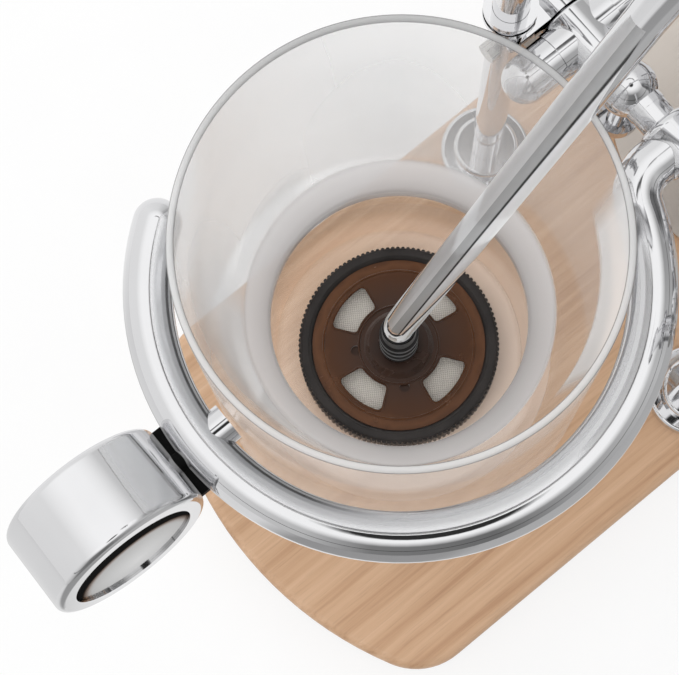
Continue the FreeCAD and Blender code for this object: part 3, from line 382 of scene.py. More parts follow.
def clear_glass():
    """Clear glass with a painted pale sheen that thickens where a wall is seen edge on. The ledge is softly
    clouded, with a painted highlight, the floor is painted lighter, and the tint carries painted light and
    shade by height and bearing. The wall of the well mirrors its floor, the rim is grey with painted darker
    edges. Painted reflections show only to mirrored rays. Lamp light goes straight through."""
    material, tree, shader = new_material("clear glass")
    x, y, z = axes(tree, stretched(tree, grey(1.0 / MM), location=GLASS_AT * (-1 / MM)))
    tall = spread(tree, z, 0.0, GLASS_H, 0.0, 1.0)
    out = distance(tree, x, y)
    lean = maths(tree, "SUBTRACT", out, maths(tree, "MULTIPLY", z, CUP_LEAN))
    inside = spread(tree, lean, CUP_SPLIT_R - CUP_SPLIT_FADE, CUP_SPLIT_R + CUP_SPLIT_FADE, 1.0, 0.0)

    def along(turn):
        """Distance from the axis in the direction of a bearing in radians."""
        return maths(tree, "ADD", maths(tree, "MULTIPLY", x, math.cos(turn)),
                     maths(tree, "MULTIPLY", y, math.sin(turn)))

    def toward(degrees):
        """1 on the side of a bearing, -1 on the other side."""
        return maths(tree, "DIVIDE", along(math.radians(degrees)), maths(tree, "MAXIMUM", out, 0.01))

    def by_height(stops):
        """Value that changes with the height above the foot in millimetres."""
        return ramp(tree, tall, [(height / GLASS_H, value) for height, value in stops])

    def most(*values):
        highest = values[0]
        for value in values[1:]:
            highest = maths(tree, "MAXIMUM", highest, value)
        return highest

    def times(first, second):
        return maths(tree, "MULTIPLY", first, second)

    path = add(tree, "ShaderNodeLightPath")
    glossy = path.outputs["Is Glossy Ray"]
    outside = maths(tree, "SUBTRACT", 1.0, inside)
    side = toward(LIT_BEARING)
    haze = noise(tree, stretched(tree, grey(45.0)), detail=3.0)
    tree.links.new(spread(tree, haze, 0.35, 0.75, 0.10, 0.16), shader.inputs["Roughness"])
    edge = put(add(tree, "ShaderNodeLayerWeight"), Blend=0.5).outputs["Facing"]

    # Painted light and shade on the inside: tint by height, with a painted highlight at the top of the ledge,
    # a warm painted lighter floor, and painted paler on the lit side above the well
    bowl = by_height([
        (FLOOR_H + 1, (0.94, 0.76, 0.64)), (WELL_H, (0.44, 0.42, 0.415)), (WELL_H + 3, (0.57, 0.55, 0.545)),
        (LEDGE_H - 1, (0.65, 0.63, 0.625)), (LEDGE_H + 5, (0.71, 0.72, 0.73)),
        (LEDGE_H + 34, (0.76, 0.775, 0.79))])
    paler = spread(tree, side, -1.0, 1.0, 0.82, 1.28)
    upper = by_height([(WELL_H - 6, grey(0.0)), (WELL_H, grey(1.0))])
    bowl_shade = maths(tree, "ADD", 1.0, times(upper, maths(tree, "SUBTRACT", paler, 1.0)))
    tint = blended(tree, inside, grey(0.88), blended(tree, 1.0, bowl, bowl_shade, "MULTIPLY"))

    # Painted bright upright reflection below the rim
    blade_from = GLASS_H - BLADE_DROP
    blade = times(by_height([(blade_from, grey(0.0)), (blade_from + BLADE_FADE, grey(1.0))]),
                  times(spread(tree, toward(BLADE_BEARING), 0.86, 0.93, 0.0, 1.0), inside))
    tint = blended(tree, blade, tint, grey(0.95))

    # Rim, with painted shade: darker at its edges and on one side
    lip = ramp(tree, edge, [(0.0, grey(0.43)), (0.30, grey(0.41)), (0.44, grey(0.20)), (1.0, grey(0.12))])
    at_lip = by_height([(GLASS_H - LIP_H, grey(0.0)), (GLASS_H - LIP_H + LIP_FADE, grey(1.0))])
    lip_shade = spread(tree, toward(LIP_SHADE_BEARING), 0.3, 0.95, 1.50, 0.96)
    tint = blended(tree, at_lip, tint, blended(tree, 1.0, lip, lip_shade, "MULTIPLY"))

    # Painted reflection, shown only to mirrored rays: what the tube mirrors on the inside, a grey side, a
    # dark line and a white side
    turned = maths(tree, "ARCTAN2", along(math.radians(MIRROR_EDGE - 90)),
                   along(math.radians(MIRROR_EDGE + 180)))
    round_about = maths(tree, "ADD", turned, math.pi)
    dark_at = spread(tree, z, 0.0, GLASS_H, 0.66, 2.12)
    panels = ramp(tree, maths(tree, "DIVIDE", round_about, times(dark_at, 4.0)), [
        (0.0, grey(0.57)), (0.20, grey(0.53)), (0.225, grey(0.03)), (0.255, grey(0.03)), (0.275, grey(0.94)),
        (1.0, grey(0.97))])
    above_floor = by_height([(FLOOR_H + 2, grey(0.0)), (FLOOR_H + 4, grey(1.0))])
    behind = add(tree, "ShaderNodeNewGeometry").outputs["Backfacing"]
    direct = maths(tree, "LESS_THAN", path.outputs["Transparent Depth"], 0.5)
    faced = times(direct, maths(tree, "SUBTRACT", 1.0, behind))
    in_mirror = times(times(glossy, faced), times(inside, above_floor))
    tint = blended(tree, in_mirror, tint, panels)

    # Painted reflection, shown only to mirrored rays: what the ring mirrors on the outside beside the drum,
    # two dark lines in a grey band
    lines = ramp(tree, spread(tree, z, STREAKS_FROM, STREAKS_TO, 0.0, 1.0), [
        (0.0, grey(0.0)), (0.04, grey(1.0)), (0.14, grey(1.0)), (0.18, grey(0.50)), (0.34, grey(0.50)),
        (0.38, grey(1.0)), (0.52, grey(1.0)), (0.58, grey(0.42)), (0.80, grey(0.34)), (0.86, grey(0.0))])
    beside = times(spread(tree, toward(STREAKS_BEARING), 0.45, 0.75, 0.0, 1.0), glossy)
    streaks = times(times(lines, beside), outside)
    tint = blended(tree, spread(tree, streaks, 0.0, 0.2, 0.0, 1.0), tint, grey(0.06))
    tree.links.new(tint, shader.inputs["Base Color"])
    well = by_height([
        (FLOOR_H + 1.2, grey(0.0)), (FLOOR_H + 1.8, grey(1.0)), (WELL_H - 6, grey(1.0)),
        (WELL_H - 5, grey(0.0))])
    mirror_wall = times(times(well, inside), maths(tree, "SUBTRACT", 1.0, glossy))
    tree.links.new(mirror_wall, shader.inputs["Metallic"])

    # How much of the glass shows: its painted sheen, weaker on the unlit side, the clouded parts with their
    # painted light, the painted reflections, and the rim
    # Painted sheen: pale where a wall is seen edge on, weaker on the side away from the lit bearing
    sheen = spread(tree, maths(tree, "POWER", edge, 3.2), 0.0, 1.0, 0.03, 1.0)
    soft = times(sheen, most(times(spread(tree, side, -1.0, 1.0, 0.12, 0.78), inside),
                             times(spread(tree, side, -1.0, 1.0, 0.45, 0.95), outside)))
    # Painted light on the floor of the cup: a warm veil, thicker on the side away from the lit bearing, where
    # the wood below lies in shade
    floor = times(by_height([(FLOOR_H + 0.6, grey(1.0)), (FLOOR_H + 1.6, grey(0.0))]),
                  spread(tree, side, -1.0, 1.0, 0.64, 0.13))
    # Cloud of the wall by bearing, partly milkiness and partly painted sheen
    milk_and_painted_sheen = ramp(tree, compass(tree, x, y), [
        (0.0, grey(1.0)), (0.067, grey(0.82)), (0.167, grey(0.28)), (0.333, grey(0.06)),
        (0.472, grey(0.05)), (0.556, grey(0.34)), (0.642, grey(0.60)), (0.739, grey(0.32)),
        (0.822, grey(0.24)), (0.903, grey(0.97)), (0.944, grey(1.0))])
    wall = times(by_height([
        (LEDGE_H - 1, grey(0.0)), (LEDGE_H, grey(0.94)), (LEDGE_H + 6, grey(0.94)),
        (LEDGE_H + 30, grey(0.86)), (GLASS_H - 22, grey(0.58)), (GLASS_H - 3, grey(0.18))]), milk_and_painted_sheen)
    ledge = by_height([
        (WELL_H - 6, grey(0.0)), (WELL_H - 4, grey(0.90)), (WELL_H + 0.2, grey(0.95)), (LEDGE_H, grey(0.92)),
        (LEDGE_H + 3, grey(0.0))])
    # Cloud just above the ledge on one side, partly milkiness and partly painted sheen
    near_ledge = by_height([
        (LEDGE_H - 1, grey(0.0)), (LEDGE_H, grey(0.6)), (LEDGE_H + 12, grey(0.6)), (LEDGE_H + 24, grey(0.0))])
    low_wall = times(near_ledge, spread(tree, toward(LOW_CLOUD_BEARING), 0.72, 0.90, 0.0, 1.0))
    cloud_and_painted_light = most(times(most(floor, wall, low_wall, ledge), inside), times(blade, 0.85))
    mirrored = most(times(times(glossy, outside), 0.15), times(in_mirror, 0.97), times(streaks, 0.9))
    tree.links.new(most(soft, cloud_and_painted_light, mirrored, times(at_lip, 0.88)), shader.inputs["Alpha"])
    put(shader, IOR=1.47)

    # Clear to lamp light, and to the light that dull surfaces gather
    open_to = most(path.outputs["Is Shadow Ray"], path.outputs["Is Diffuse Ray"])
    through = put(add(tree, "ShaderNodeBsdfTransparent"), Color=(0.98, 0.98, 0.98, 1.0))
    mix = add(tree, "ShaderNodeMixShader")
    tree.links.new(open_to, mix.inputs["Fac"])
    tree.links.new(shader.outputs["BSDF"], mix.inputs[1])
    tree.links.new(through.outputs["BSDF"], mix.inputs[2])
    tree.links.new(mix.outputs["Shader"], tree.nodes["Material Output"].inputs["Surface"])
    return material


def moulded(name, low, high, rough, grain, shine, mirrored=None):
    """Moulded plastic or rubber with a fine skin texture, and, where given, a painted reflection: another
    colour shown only to mirrored rays.
    """
    material, tree, shader = new_material(name)
    skin = noise(tree, stretched(tree, grey(1400.0)), detail=2.0)
    cloud = noise(tree, stretched(tree, grey(110.0)), detail=3.0)
    tint = ramp(tree, cloud, [(0.3, low), (0.7, high)])
    if mirrored:
        tint = mirrored_as(tree, tint, mirrored)
    tree.links.new(tint, shader.inputs["Base Color"])
    tree.links.new(spread(tree, cloud, 0.3, 0.7, rough - 0.05, rough + 0.06), shader.inputs["Roughness"])
    tree.links.new(bump(tree, skin, grain, 0.0001), shader.inputs["Normal"])
    put(shader, Specular_IOR_Level=shine)
    return material


def rubber():
    return moulded("black rubber", (0.006, 0.006, 0.006), (0.014, 0.013, 0.013), 0.34, 0.2, 0.18)


def groove_rubber():
    # Black, with a painted grey reflection where the drum and the ring mirror it
    return moulded("groove rubber", (0.003, 0.003, 0.003), (0.006, 0.006, 0.006), 0.60, 0.2, 0.04,
                   mirrored=grey(0.32))


def pad_rubber():
    return moulded("pad rubber", (0.030, 0.028, 0.026), (0.050, 0.047, 0.043), 0.75, 0.5, 0.40)


def rim_plastic():
    return moulded("charcoal plastic", (0.019, 0.016, 0.015), (0.035, 0.030, 0.028), 0.38, 0.25, 0.25)


def smoked_plastic():
    """Brown see-through plastic, with a painted lighter band where its edge gathers light, and a painted pale
    reflection where metal mirrors it.
    """
    material, tree, shader = new_material("smoked plastic")
    place = stretched(tree, grey(1.0 / MM), location=(-GLASS_AT.x / MM, -GLASS_AT.y / MM, 0))
    x, y, _ = axes(tree, place)
    cloud = noise(tree, stretched(tree, grey(130.0)), distortion=0.5)
    wander = maths(tree, "ADD", distance(tree, x, y), maths(tree, "MULTIPLY", cloud, 6.0))
    tint = ramp(tree, spread(tree, wander, 6.0, 27.0, 0.0, 1.0), [
        (0.00, (0.022, 0.014, 0.012)), (0.30, (0.064, 0.030, 0.018)),
        (0.72, (0.092, 0.034, 0.012)), (0.86, (0.150, 0.060, 0.024)), (1.00, (0.066, 0.026, 0.011))])
    # Painted reflection: pale grey shown only to mirrored rays
    shown = mirrored_as(tree, tint, (0.86, 0.85, 0.84))
    tree.links.new(shown, shader.inputs["Base Color"])
    tree.links.new(spread(tree, cloud, 0.3, 0.7, 0.16, 0.30), shader.inputs["Roughness"])
    put(shader, Transmission_Weight=0.25, IOR=1.49, Specular_IOR_Level=0.10)
    return material


def woven(name, thread, low, high):
    """Plain weave, with the distance between threads in metres."""
    material, tree, shader = new_material(name)
    place = stretched(tree, grey(2 * math.pi / thread))
    wobble = noise(tree, stretched(tree, grey(300.0)))
    x, y, _ = axes(tree, place)
    bent = maths(tree, "MULTIPLY", wobble, 4.0)
    warp = maths(tree, "SINE", maths(tree, "ADD", x, bent))
    weft = maths(tree, "SINE", maths(tree, "ADD", y, bent))
    weave = maths(tree, "MULTIPLY", warp, weft)
    tint = ramp(tree, spread(tree, weave, -1.0, 1.0, 0.0, 1.0), [(0.1, low), (0.7, high)])
    tree.links.new(tint, shader.inputs["Base Color"])
    tree.links.new(spread(tree, weave, -1.0, 1.0, 0.95, 0.75), shader.inputs["Roughness"])
    tree.links.new(bump(tree, weave, 0.5, 0.0003), shader.inputs["Normal"])
    put(shader, Sheen_Weight=0.2)
    return material


FINISHES = {
    "wood": beech(),
    "pad": pad_rubber(),
    "glass": clear_glass(),
    "chrome": chrome(),
    "steel": steel(),
    "rubber": rubber(),
    "black_plastic": rim_plastic(),
    "brown_plastic": smoked_plastic(),
    "cloth": woven("cotton weave", 0.0007, (0.42, 0.38, 0.34), (0.72, 0.68, 0.62)),
    "brass": brass(),
}
OWN_FINISHES = {
    "heat_plate": warm_plate(),
    "drum_discs": disc_mirror(),
    "siphon_tube": tube_chrome(),
    "groove_strip": groove_rubber(),
}


# Mesh helpers

def rounded(corners, steps=8):
    """Outline points from (r, z) or (r, z, round) corners in millimetres."""
    points = []
    for index, corner in enumerate(corners):
        here = Vector(corner[:2])
        if len(corner) == 2:
            points.append(here)
            continue
        back = (Vector(corners[index - 1][:2]) - here).normalized()
        ahead = (Vector(corners[(index + 1) % len(corners)][:2]) - here).normalized()
        half = back.angle(ahead) / 2
        centre = here + (back + ahead).normalized() * (corner[2] / math.sin(half))
        first = here + back * (corner[2] / math.tan(half)) - centre
        last = here + ahead * (corner[2] / math.tan(half)) - centre
        sweep = first.angle_signed(last)
        for step in range(steps + 1):
            points.append(centre + Matrix.Rotation(-sweep * step / steps, 2) @ first)
    return points


def finer(points, longest):
    """Closed outline with points added until no stretch is longer than the longest."""
    dense = []
    for here, ahead in zip(points, points[1:] + points[:1]):
        parts = max(1, math.ceil((ahead - here).length / longest))
        dense += [here.lerp(ahead, k / parts) for k in range(parts)]
    return dense


def lathe(outline, at, sides=144, closed=False):
    """Vertices and faces turned about the upright axis through a point. An outline that goes
    anticlockwise, with the axis on its left, faces outwards."""
    verts, faces, rings = [], [], []
    for r, z in outline:
        count = 1 if r < ON_AXIS_R else sides
        rings.append([len(verts) + k for k in range(count)])
        for k in range(count):
            turn = 2 * math.pi * k / sides
            verts.append(at + Vector((r * math.cos(turn), r * math.sin(turn), z)) * MM)
    pairs = list(zip(rings, rings[1:]))
    if closed:
        pairs.append((rings[-1], rings[0]))
    for low, high in pairs:
        for k in range(sides):
            n = (k + 1) % sides
            face = [low[k % len(low)], low[n % len(low)], high[n % len(high)], high[k % len(high)]]
            faces.append(list(dict.fromkeys(face)))
    return verts, faces


def hoop(path, radius, sides=8):
    """Vertices and faces of a round bar along a closed path of points in millimetres."""
    verts, faces = [], []
    count = len(path)
    ahead = [path[(i + 1) % count] - path[i] for i in range(count)]
    side = ahead[0].orthogonal().normalized()
    for i in range(count):
        along = (ahead[i - 1].normalized() + ahead[i].normalized()).normalized()
        side = (side - along * side.dot(along)).normalized()
        across = along.cross(side)
        for k in range(sides):
            turn = 2 * math.pi * k / sides
            verts.append((path[i] + (side * math.cos(turn) + across * math.sin(turn)) * radius) * MM)
    for i in range(count):
        low, high = i * sides, (i + 1) % count * sides
        for k in range(sides):
            n = (k + 1) % sides
            faces.append([low + k, low + n, high + n, high + k])
    return verts, faces


def joined(shapes):
    """One shape from several."""
    verts, faces = [], []
    for more, loops in shapes:
        faces += [[len(verts) + i for i in loop] for loop in loops]
        verts += more
    return verts, faces


def mesh_object(name, shape, material):
    mesh = bpy.data.meshes.new(name)
    mesh.from_pydata(shape[0], [], shape[1])
    mesh.shade_smooth()
    mesh.set_sharp_from_angle(angle=SHARP_ANGLE)
    mesh.materials.append(material)
    made = bpy.data.objects.new(name, mesh)
    bpy.context.scene.collection.objects.link(made)
    return made


def rib_tree():
    """Geometry nodes that join a ring of upright ribs to a mesh. Returns the tree and its socket names."""
    tree = bpy.data.node_groups.new("upright ribs", "GeometryNodeTree")
    tree.interface.new_socket("Geometry", in_out="INPUT", socket_type="NodeSocketGeometry")
    keys = {}
    for name, kind in (("Count", "Int"), ("Ring Radius", "Float"), ("Rib Radius", "Float"),
                       ("Rib Height", "Float"), ("Middle", "Vector"), ("Material", "Material")):
        socket = tree.interface.new_socket(name, in_out="INPUT", socket_type="NodeSocket" + kind)
        keys[name] = socket.identifier
    tree.interface.new_socket("Geometry", in_out="OUTPUT", socket_type="NodeSocketGeometry")
    given = add(tree, "NodeGroupInput")
    circle = add(tree, "GeometryNodeMeshCircle")
    rib = put(add(tree, "GeometryNodeMeshCylinder"), Vertices=8)
    spots = add(tree, "GeometryNodeInstanceOnPoints")
    place = add(tree, "GeometryNodeTransform")
    real = add(tree, "GeometryNodeRealizeInstances")
    paint = add(tree, "GeometryNodeSetMaterial")
    join = add(tree, "GeometryNodeJoinGeometry")
    out = add(tree, "NodeGroupOutput")
    for source, target in (
            (given.outputs["Count"], circle.inputs["Vertices"]),
            (given.outputs["Ring Radius"], circle.inputs["Radius"]),
            (given.outputs["Rib Radius"], rib.inputs["Radius"]),
            (given.outputs["Rib Height"], rib.inputs["Depth"]),
            (circle.outputs["Mesh"], spots.inputs["Points"]),
            (rib.outputs["Mesh"], spots.inputs["Instance"]),
            (spots.outputs["Instances"], place.inputs["Geometry"]),
            (given.outputs["Middle"], place.inputs["Translation"]),
            (place.outputs["Geometry"], real.inputs["Geometry"]),
            (real.outputs["Geometry"], paint.inputs["Geometry"]),
            (given.outputs["Material"], paint.inputs["Material"]),
            (given.outputs["Geometry"], join.inputs["Geometry"]),
            (paint.outputs["Geometry"], join.inputs["Geometry"]),
            (join.outputs["Geometry"], out.inputs["Geometry"])):
        tree.links.new(source, target)
    return tree, keys


RIBS, RIB_KEYS = rib_tree()


def add_ribs(made, material, middle, count, ring_r, rib_r, tall):
    """Ring of ribs, sizes in millimetres, made part of the plain mesh."""
    modifier = made.modifiers.new("ribs", "NODES")
    modifier.node_group = RIBS
    values = {"Count": count, "Ring Radius": ring_r * MM, "Rib Radius": rib_r * MM,
              "Rib Height": tall * MM, "Middle": middle, "Material": material}
    for name, value in values.items():
        modifier[RIB_KEYS[name]] = value
    ready = made.evaluated_get(bpy.context.evaluated_depsgraph_get())
    mesh = bpy.data.meshes.new_from_object(ready)
    made.modifiers.clear()
    mesh.set_sharp_from_angle(angle=SHARP_ANGLE)
    made.data = mesh


def piece(name, shape, body, slot, replaced=(), ribs=None):
    """Mesh object on a body, in its own finish or that of its slot."""
    made = mesh_object(name, shape, OWN_FINISHES.get(name) or FINISHES[slot])
    if ribs:
        add_ribs(made, made.data.materials[0], *ribs)
    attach(made, body)
    if replaced:
        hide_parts(*replaced)


# Pieces

def make_glass():
    """Sealed double-walled glass: a stepped cup inside a rounded jacket, shown by its outer skin."""
    skin = rounded([
        (0, FOOT_LIFT), (FOOT_R, FOOT_LIFT, FOOT_ROUND), (BELLY_R, BELLY_H, BELLY_ROUND),
        (RIM_R, GLASS_H, RIM_ROUND), (RIM_R - CUP_WALL, GLASS_H, RIM_ROUND), (LEDGE_R, LEDGE_H, LEDGE_ROUND),
        (WELL_R, WELL_H, LEDGE_ROUND), (FLOOR_R, FLOOR_H, FLOOR_ROUND), (0, FLOOR_H)])
    piece("glass_vessel", lathe(skin, GLASS_AT), "base", "glass", ("glass_cup", "glass_jacket"))


def round_filter(radius, turn, z):
    """Point in millimetres round the middle of the filter."""
    return GLASS_AT / MM + Vector((radius * math.cos(turn), radius * math.sin(turn), z - GLASS_AT.z / MM))


def make_filter():
    """Ribbed rim, raised edges on the cover, and the ringed rubber sleeve under the tube."""
    low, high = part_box("filter_rim")
    tall = (high.z - low.z) / MM
    outer = (high.x - low.x) / 2 / MM
    at = Vector((GLASS_AT.x, GLASS_AT.y, low.z))
    bore = outer - RIM_WIDTH
    rib_ring_r = outer - RIB_DEEP
    rim = rounded([
        (bore, 0), (rib_ring_r, 0, RIM_FOOT_ROUND), (rib_ring_r, tall, RIM_TOP_ROUND),
        (bore + RIM_SLOPE_WIDTH, tall, RIM_SLOPE_ROUND),
        (bore, tall - RIM_SLOPE_DEEP, RIM_FOOT_ROUND)], steps=4)
    middle = at + Vector((0, 0, tall / 2 - RIB_DROP)) * MM
    ribs = (middle, RIBS_ROUND, rib_ring_r, RIB_DEEP, tall - RIB_SHORT)
    piece("ribbed_rim", lathe(rim, at, closed=True), "siphon", "black_plastic", ("filter_rim",), ribs=ribs)

    cover_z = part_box("filter_rim")[1].z / MM - COVER_SINK
    lips = []
    middle_r = (WINDOW_IN_R + WINDOW_OUT_R) / 2
    wide = middle_r * math.radians(WINDOW_SPAN / 2)
    deep = (WINDOW_OUT_R - WINDOW_IN_R) / 2
    corners = [(-wide, -deep), (wide, -deep), (wide, deep), (-wide, deep)]
    corners = [(*corner, WINDOW_ROUND) for corner in corners]
    flat = finer(rounded(corners, steps=4), WINDOW_ROUND)
    for step in range(WINDOWS):
        turn = math.radians(WINDOW_TURN + 360 / WINDOWS * step)
        outline = [round_filter(middle_r + rise, turn + side / middle_r, cover_z) for side, rise in flat]
        lips.append(hoop(outline, LIP_R))
    for radius in (WINDOW_IN_R - INNER_LIP_GAP, WINDOW_OUT_R + OUTER_LIP_GAP):
        ring = [round_filter(radius, 2 * math.pi * k / LIP_STEPS, cover_z) for k in range(LIP_STEPS)]
        lips.append(hoop(ring, LIP_R))
    piece("cover_lips", joined(lips), "siphon", "brown_plastic")

    low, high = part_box("filter_sleeve")
    radius = (high.x - low.x) / 2 / MM
    tall = (high.z - low.z) / MM
    hub = cover_z + BUSH_H - low.z / MM
    outline = [(TUBE_R, 0), (radius, 0), (radius, hub)]
    pitch = (tall - hub - SLEEVE_PLAIN_H) / SLEEVE_RINGS
    neck = radius - SLEEVE_RING_DEEP
    for k in range(SLEEVE_RINGS):
        base = hub + pitch * k
        for r, share in ((neck, 0.1), (radius, 0.3), (radius, 0.7), (neck, 0.9)):
            outline.append((r, base + share * pitch, SLEEVE_RING_ROUND))
    outline += [(neck, tall - SLEEVE_BEVEL_H), (TUBE_R + SLEEVE_TOP_WALL, tall), (TUBE_R, tall)]
    at = Vector((GLASS_AT.x, GLASS_AT.y, low.z))
    sleeve = lathe(rounded(outline, steps=4), at, sides=64, closed=True)
    piece("ringed_sleeve", sleeve, "siphon", "rubber", ("filter_sleeve",))


def make_gasket():
    """Rubber strip deep in the groove between the drum and the ring, with a collar over the stud."""
    low, high = (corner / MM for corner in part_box("drum_gasket"))
    centre = GLASS_AT / MM
    drum_x = centre.x - RING_R - RING_TUBE_R - DRUM_GAP
    foot = (low.z - high.z) / 2
    verts, faces = [], []
    levels, steps = 9, 64
    for k in range(steps + 1):
        y = low.y + STRIP_INSET + (high.y - low.y - 2 * STRIP_INSET) * k / steps
        collar = math.sqrt(max(0.0, COLLAR_R ** 2 - (y - centre.y) ** 2))
        top = max(STRIP_TOP, collar)
        drum_side, ring_side = [], []
        for level in range(levels):
            h = foot + (top - foot) * level / (levels - 1)
            z = (low.z + high.z) / 2 + h
            on_drum = drum_x - DRUM_R + math.sqrt(DRUM_R ** 2 - h ** 2)
            reach = RING_R + math.sqrt(RING_TUBE_R ** 2 - h ** 2)
            on_ring = centre.x - math.sqrt(reach ** 2 - (y - centre.y) ** 2)
            drum_side.append(Vector((on_drum - STRIP_BITE, y, z)))
            ring_side.append(Vector((on_ring + STRIP_BITE, y, z)))
        verts += [point * MM for point in ring_side + drum_side[::-1]]
    count = 2 * levels
    for k in range(steps):
        for i in range(count):
            n = (i + 1) % count
            faces.append([k * count + i, (k + 1) * count + i, (k + 1) * count + n, k * count + n])
    faces.append(list(range(count)))
    faces.append([steps * count + i for i in reversed(range(count))])
    piece("groove_strip", (verts, faces), "beam", "rubber", ("drum_gasket",))


def dress_nodes():
    """Every CAD piece in its own finish or that of its slot."""
    slots = {part["node"]: part["material_slot"] for part in frame["record"]["subparts"]}
    for name, made in nodes.items():
        made.data.materials.clear()
        made.data.materials.append(OWN_FINISHES.get(name) or FINISHES[slots[name]])


# Studio

def make_floor():
    """Pale floor, white to the camera. Metal mirrors it light close by and behind, and greyer in front and
    beyond the drum."""
    material, tree, shader = new_material("studio floor")
    speck = noise(tree, stretched(tree, grey(40.0)))
    tint = ramp(tree, speck, [(0.3, grey(0.86)), (0.7, grey(0.90))])
    tree.links.new(tint, shader.inputs["Base Color"])
    put(shader, Roughness=0.9, Specular_IOR_Level=0.0)
    x, y, _ = axes(tree, stretched(tree, grey(1.0), location=-PANELS_AT))
    bearing = compass(tree, x, y)
    close_by = ramp(tree, bearing, [
        (0.00, grey(0.55)), (0.05, grey(0.95)), (0.80, grey(0.95)), (0.86, grey(0.50)), (1.00, grey(0.55))])
    round_about = ramp(tree, bearing, [
        (0.000, grey(0.86)), (0.045, grey(0.80)), (0.075, grey(0.22)), (0.178, grey(0.24)),
        (0.205, grey(0.40)), (0.389, grey(0.40)), (0.500, grey(0.50)), (0.611, grey(0.94)),
        (0.830, grey(0.98)), (0.880, grey(0.76)), (1.000, grey(0.80))])
    away = spread(tree, distance(tree, x, y), CLOSE_BY_R, CLOSE_BY_R + CLOSE_BY_FADE, 0.0, 1.0)
    panels = blended(tree, away, close_by, round_about)
    path = add(tree, "ShaderNodeLightPath")
    shown = blended(tree, path.outputs["Is Camera Ray"], panels, grey(1.0))
    mirrored = maths(tree, "MAXIMUM", path.outputs["Is Glossy Ray"], path.outputs["Is Transmission Ray"])
    seen = maths(tree, "MAXIMUM", path.outputs["Is Camera Ray"], mirrored)
    glow = put(add(tree, "ShaderNodeEmission"), Strength=1.0)
    tree.links.new(shown, glow.inputs["Color"])
    mix = add(tree, "ShaderNodeMixShader")
    tree.links.new(maths(tree, "MULTIPLY", seen, FLOOR_GLOW), mix.inputs["Fac"])
    tree.links.new(shader.outputs["BSDF"], mix.inputs[1])
    tree.links.new(glow.outputs["Emission"], mix.inputs[2])
    tree.links.new(mix.outputs["Shader"], tree.nodes["Material Output"].inputs["Surface"])
    mesh = bpy.data.meshes.new("floor")
    reach = FLOOR_REACH
    corners = [(-reach, -reach, 0), (reach, -reach, 0), (reach, reach, 0), (-reach, reach, 0)]
    mesh.from_pydata(corners, [], [(0, 1, 2, 3)])
    mesh.materials.append(material)
    floor = bpy.data.objects.new("floor", mesh)
    bpy.context.scene.collection.objects.link(floor)


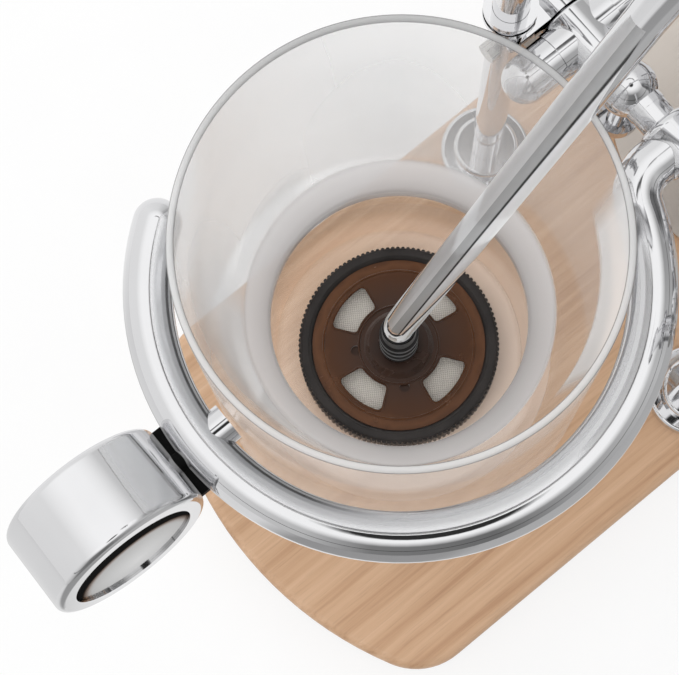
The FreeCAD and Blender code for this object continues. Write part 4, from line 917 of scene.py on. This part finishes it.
def make_world():
    """Pale studio: white overhead with a dark spot, a light wall behind, grey panels in front and thin
    dark gaps. Plain white to the camera."""
    world = bpy.data.worlds.new("studio")
    bpy.context.scene.world = world
    world.use_nodes = True
    tree = world.node_tree
    coords = add(tree, "ShaderNodeTexCoord")
    x, y, height = axes(tree, coords.outputs["Generated"])
    walls = ramp(tree, compass(tree, x, y), [
        (0.00, grey(0.80)), (0.07, grey(0.60)), (0.12, grey(0.24)), (0.21, grey(0.18)), (0.28, grey(0.42)),
        (0.37, grey(0.62)), (0.44, grey(0.40)), (0.50, grey(0.30)), (0.56, grey(0.66)), (0.62, grey(0.86)),
        (0.75, grey(0.95)), (0.94, grey(0.90)), (1.00, grey(0.80))])
    overhead = spread(tree, height, 0.66, 0.90, 0.0, 1.0)
    lit = blended(tree, overhead, walls, grey(1.15))
    front_gap = ramp(tree, height, [
        (0.335, grey(1.0)), (0.350, grey(0.05)), (0.365, grey(0.05)), (0.380, grey(1.0))])
    back_gap = ramp(tree, height, [
        (0.943, grey(1.0)), (0.950, grey(0.10)), (0.959, grey(0.10)), (0.966, grey(1.0))])
    in_front = spread(tree, y, -0.05, 0.05, 1.0, 0.0)
    behind = spread(tree, maths(tree, "ADD", x, y), 0.20, 0.28, 0.0, 1.0)
    lit = blended(tree, in_front, lit, front_gap, "MULTIPLY")
    lit = blended(tree, behind, lit, back_gap, "MULTIPLY")
    from_spot = distance(tree, maths(tree, "SUBTRACT", x, DARK_SPOT_AT.x),
                         maths(tree, "SUBTRACT", y, DARK_SPOT_AT.y))
    spot = ramp(tree, from_spot, [(0.0, grey(0.03)), (0.115, grey(0.03)), (0.17, grey(1.0))])
    lit = blended(tree, spread(tree, height, 0.0, 0.5, 0.0, 1.0), lit, spot, "MULTIPLY")
    path = add(tree, "ShaderNodeLightPath")
    studio = add(tree, "ShaderNodeBackground")
    tree.links.new(lit, studio.inputs["Color"])
    white = put(add(tree, "ShaderNodeBackground"), Color=(1, 1, 1, 1), Strength=1.0)
    mix = add(tree, "ShaderNodeMixShader")
    tree.links.new(path.outputs["Is Camera Ray"], mix.inputs["Fac"])
    tree.links.new(studio.outputs["Background"], mix.inputs[1])
    tree.links.new(white.outputs["Background"], mix.inputs[2])
    tree.links.new(mix.outputs["Shader"], tree.nodes["World Output"].inputs["Surface"])


def softbox(name, at, target, width, height, power):
    """Lamp panel that polished pieces don't mirror."""
    light = bpy.data.lights.new(name, "AREA")
    light.shape = "RECTANGLE"
    light.size = width
    light.size_y = height
    light.energy = power
    lamp = bpy.data.objects.new(name, light)
    bpy.context.scene.collection.objects.link(lamp)
    lamp.location = at
    lamp.rotation_euler = (Vector(target) - Vector(at)).to_track_quat("-Z", "Y").to_euler()
    lamp.visible_glossy = False


def make_lights():
    softbox("key panel", (-0.6, -0.35, 1.4), (-0.03, 0, 0.05), width=1.7, height=1.7, power=7.5)
    softbox("back panel", (0.1, 1.1, 1.0), (0, 0, 0.08), width=1.6, height=0.9, power=4.5)


def make_camera():
    """Camera where the photograph was taken."""
    data = bpy.data.cameras.new("camera")
    data.sensor_fit = "HORIZONTAL"
    data.sensor_width = SENSOR_MM
    data.lens = FOCAL_PIXELS / PHOTO_WIDTH * SENSOR_MM
    camera = bpy.data.objects.new("camera", data)
    bpy.context.scene.collection.objects.link(camera)
    right = CAMERA_RIGHT.normalized()
    back = right.cross(CAMERA_UP).normalized()
    turn = Matrix((right, back.cross(right), back)).transposed()
    camera.matrix_world = Matrix.Translation(CAMERA_AT) @ turn.to_4x4()
    bpy.context.scene.camera = camera


bpy.context.scene.view_settings.view_transform = "Standard"
make_floor()
make_world()
make_lights()
make_camera()
dress_nodes()
make_glass()
make_filter()
make_gasket()
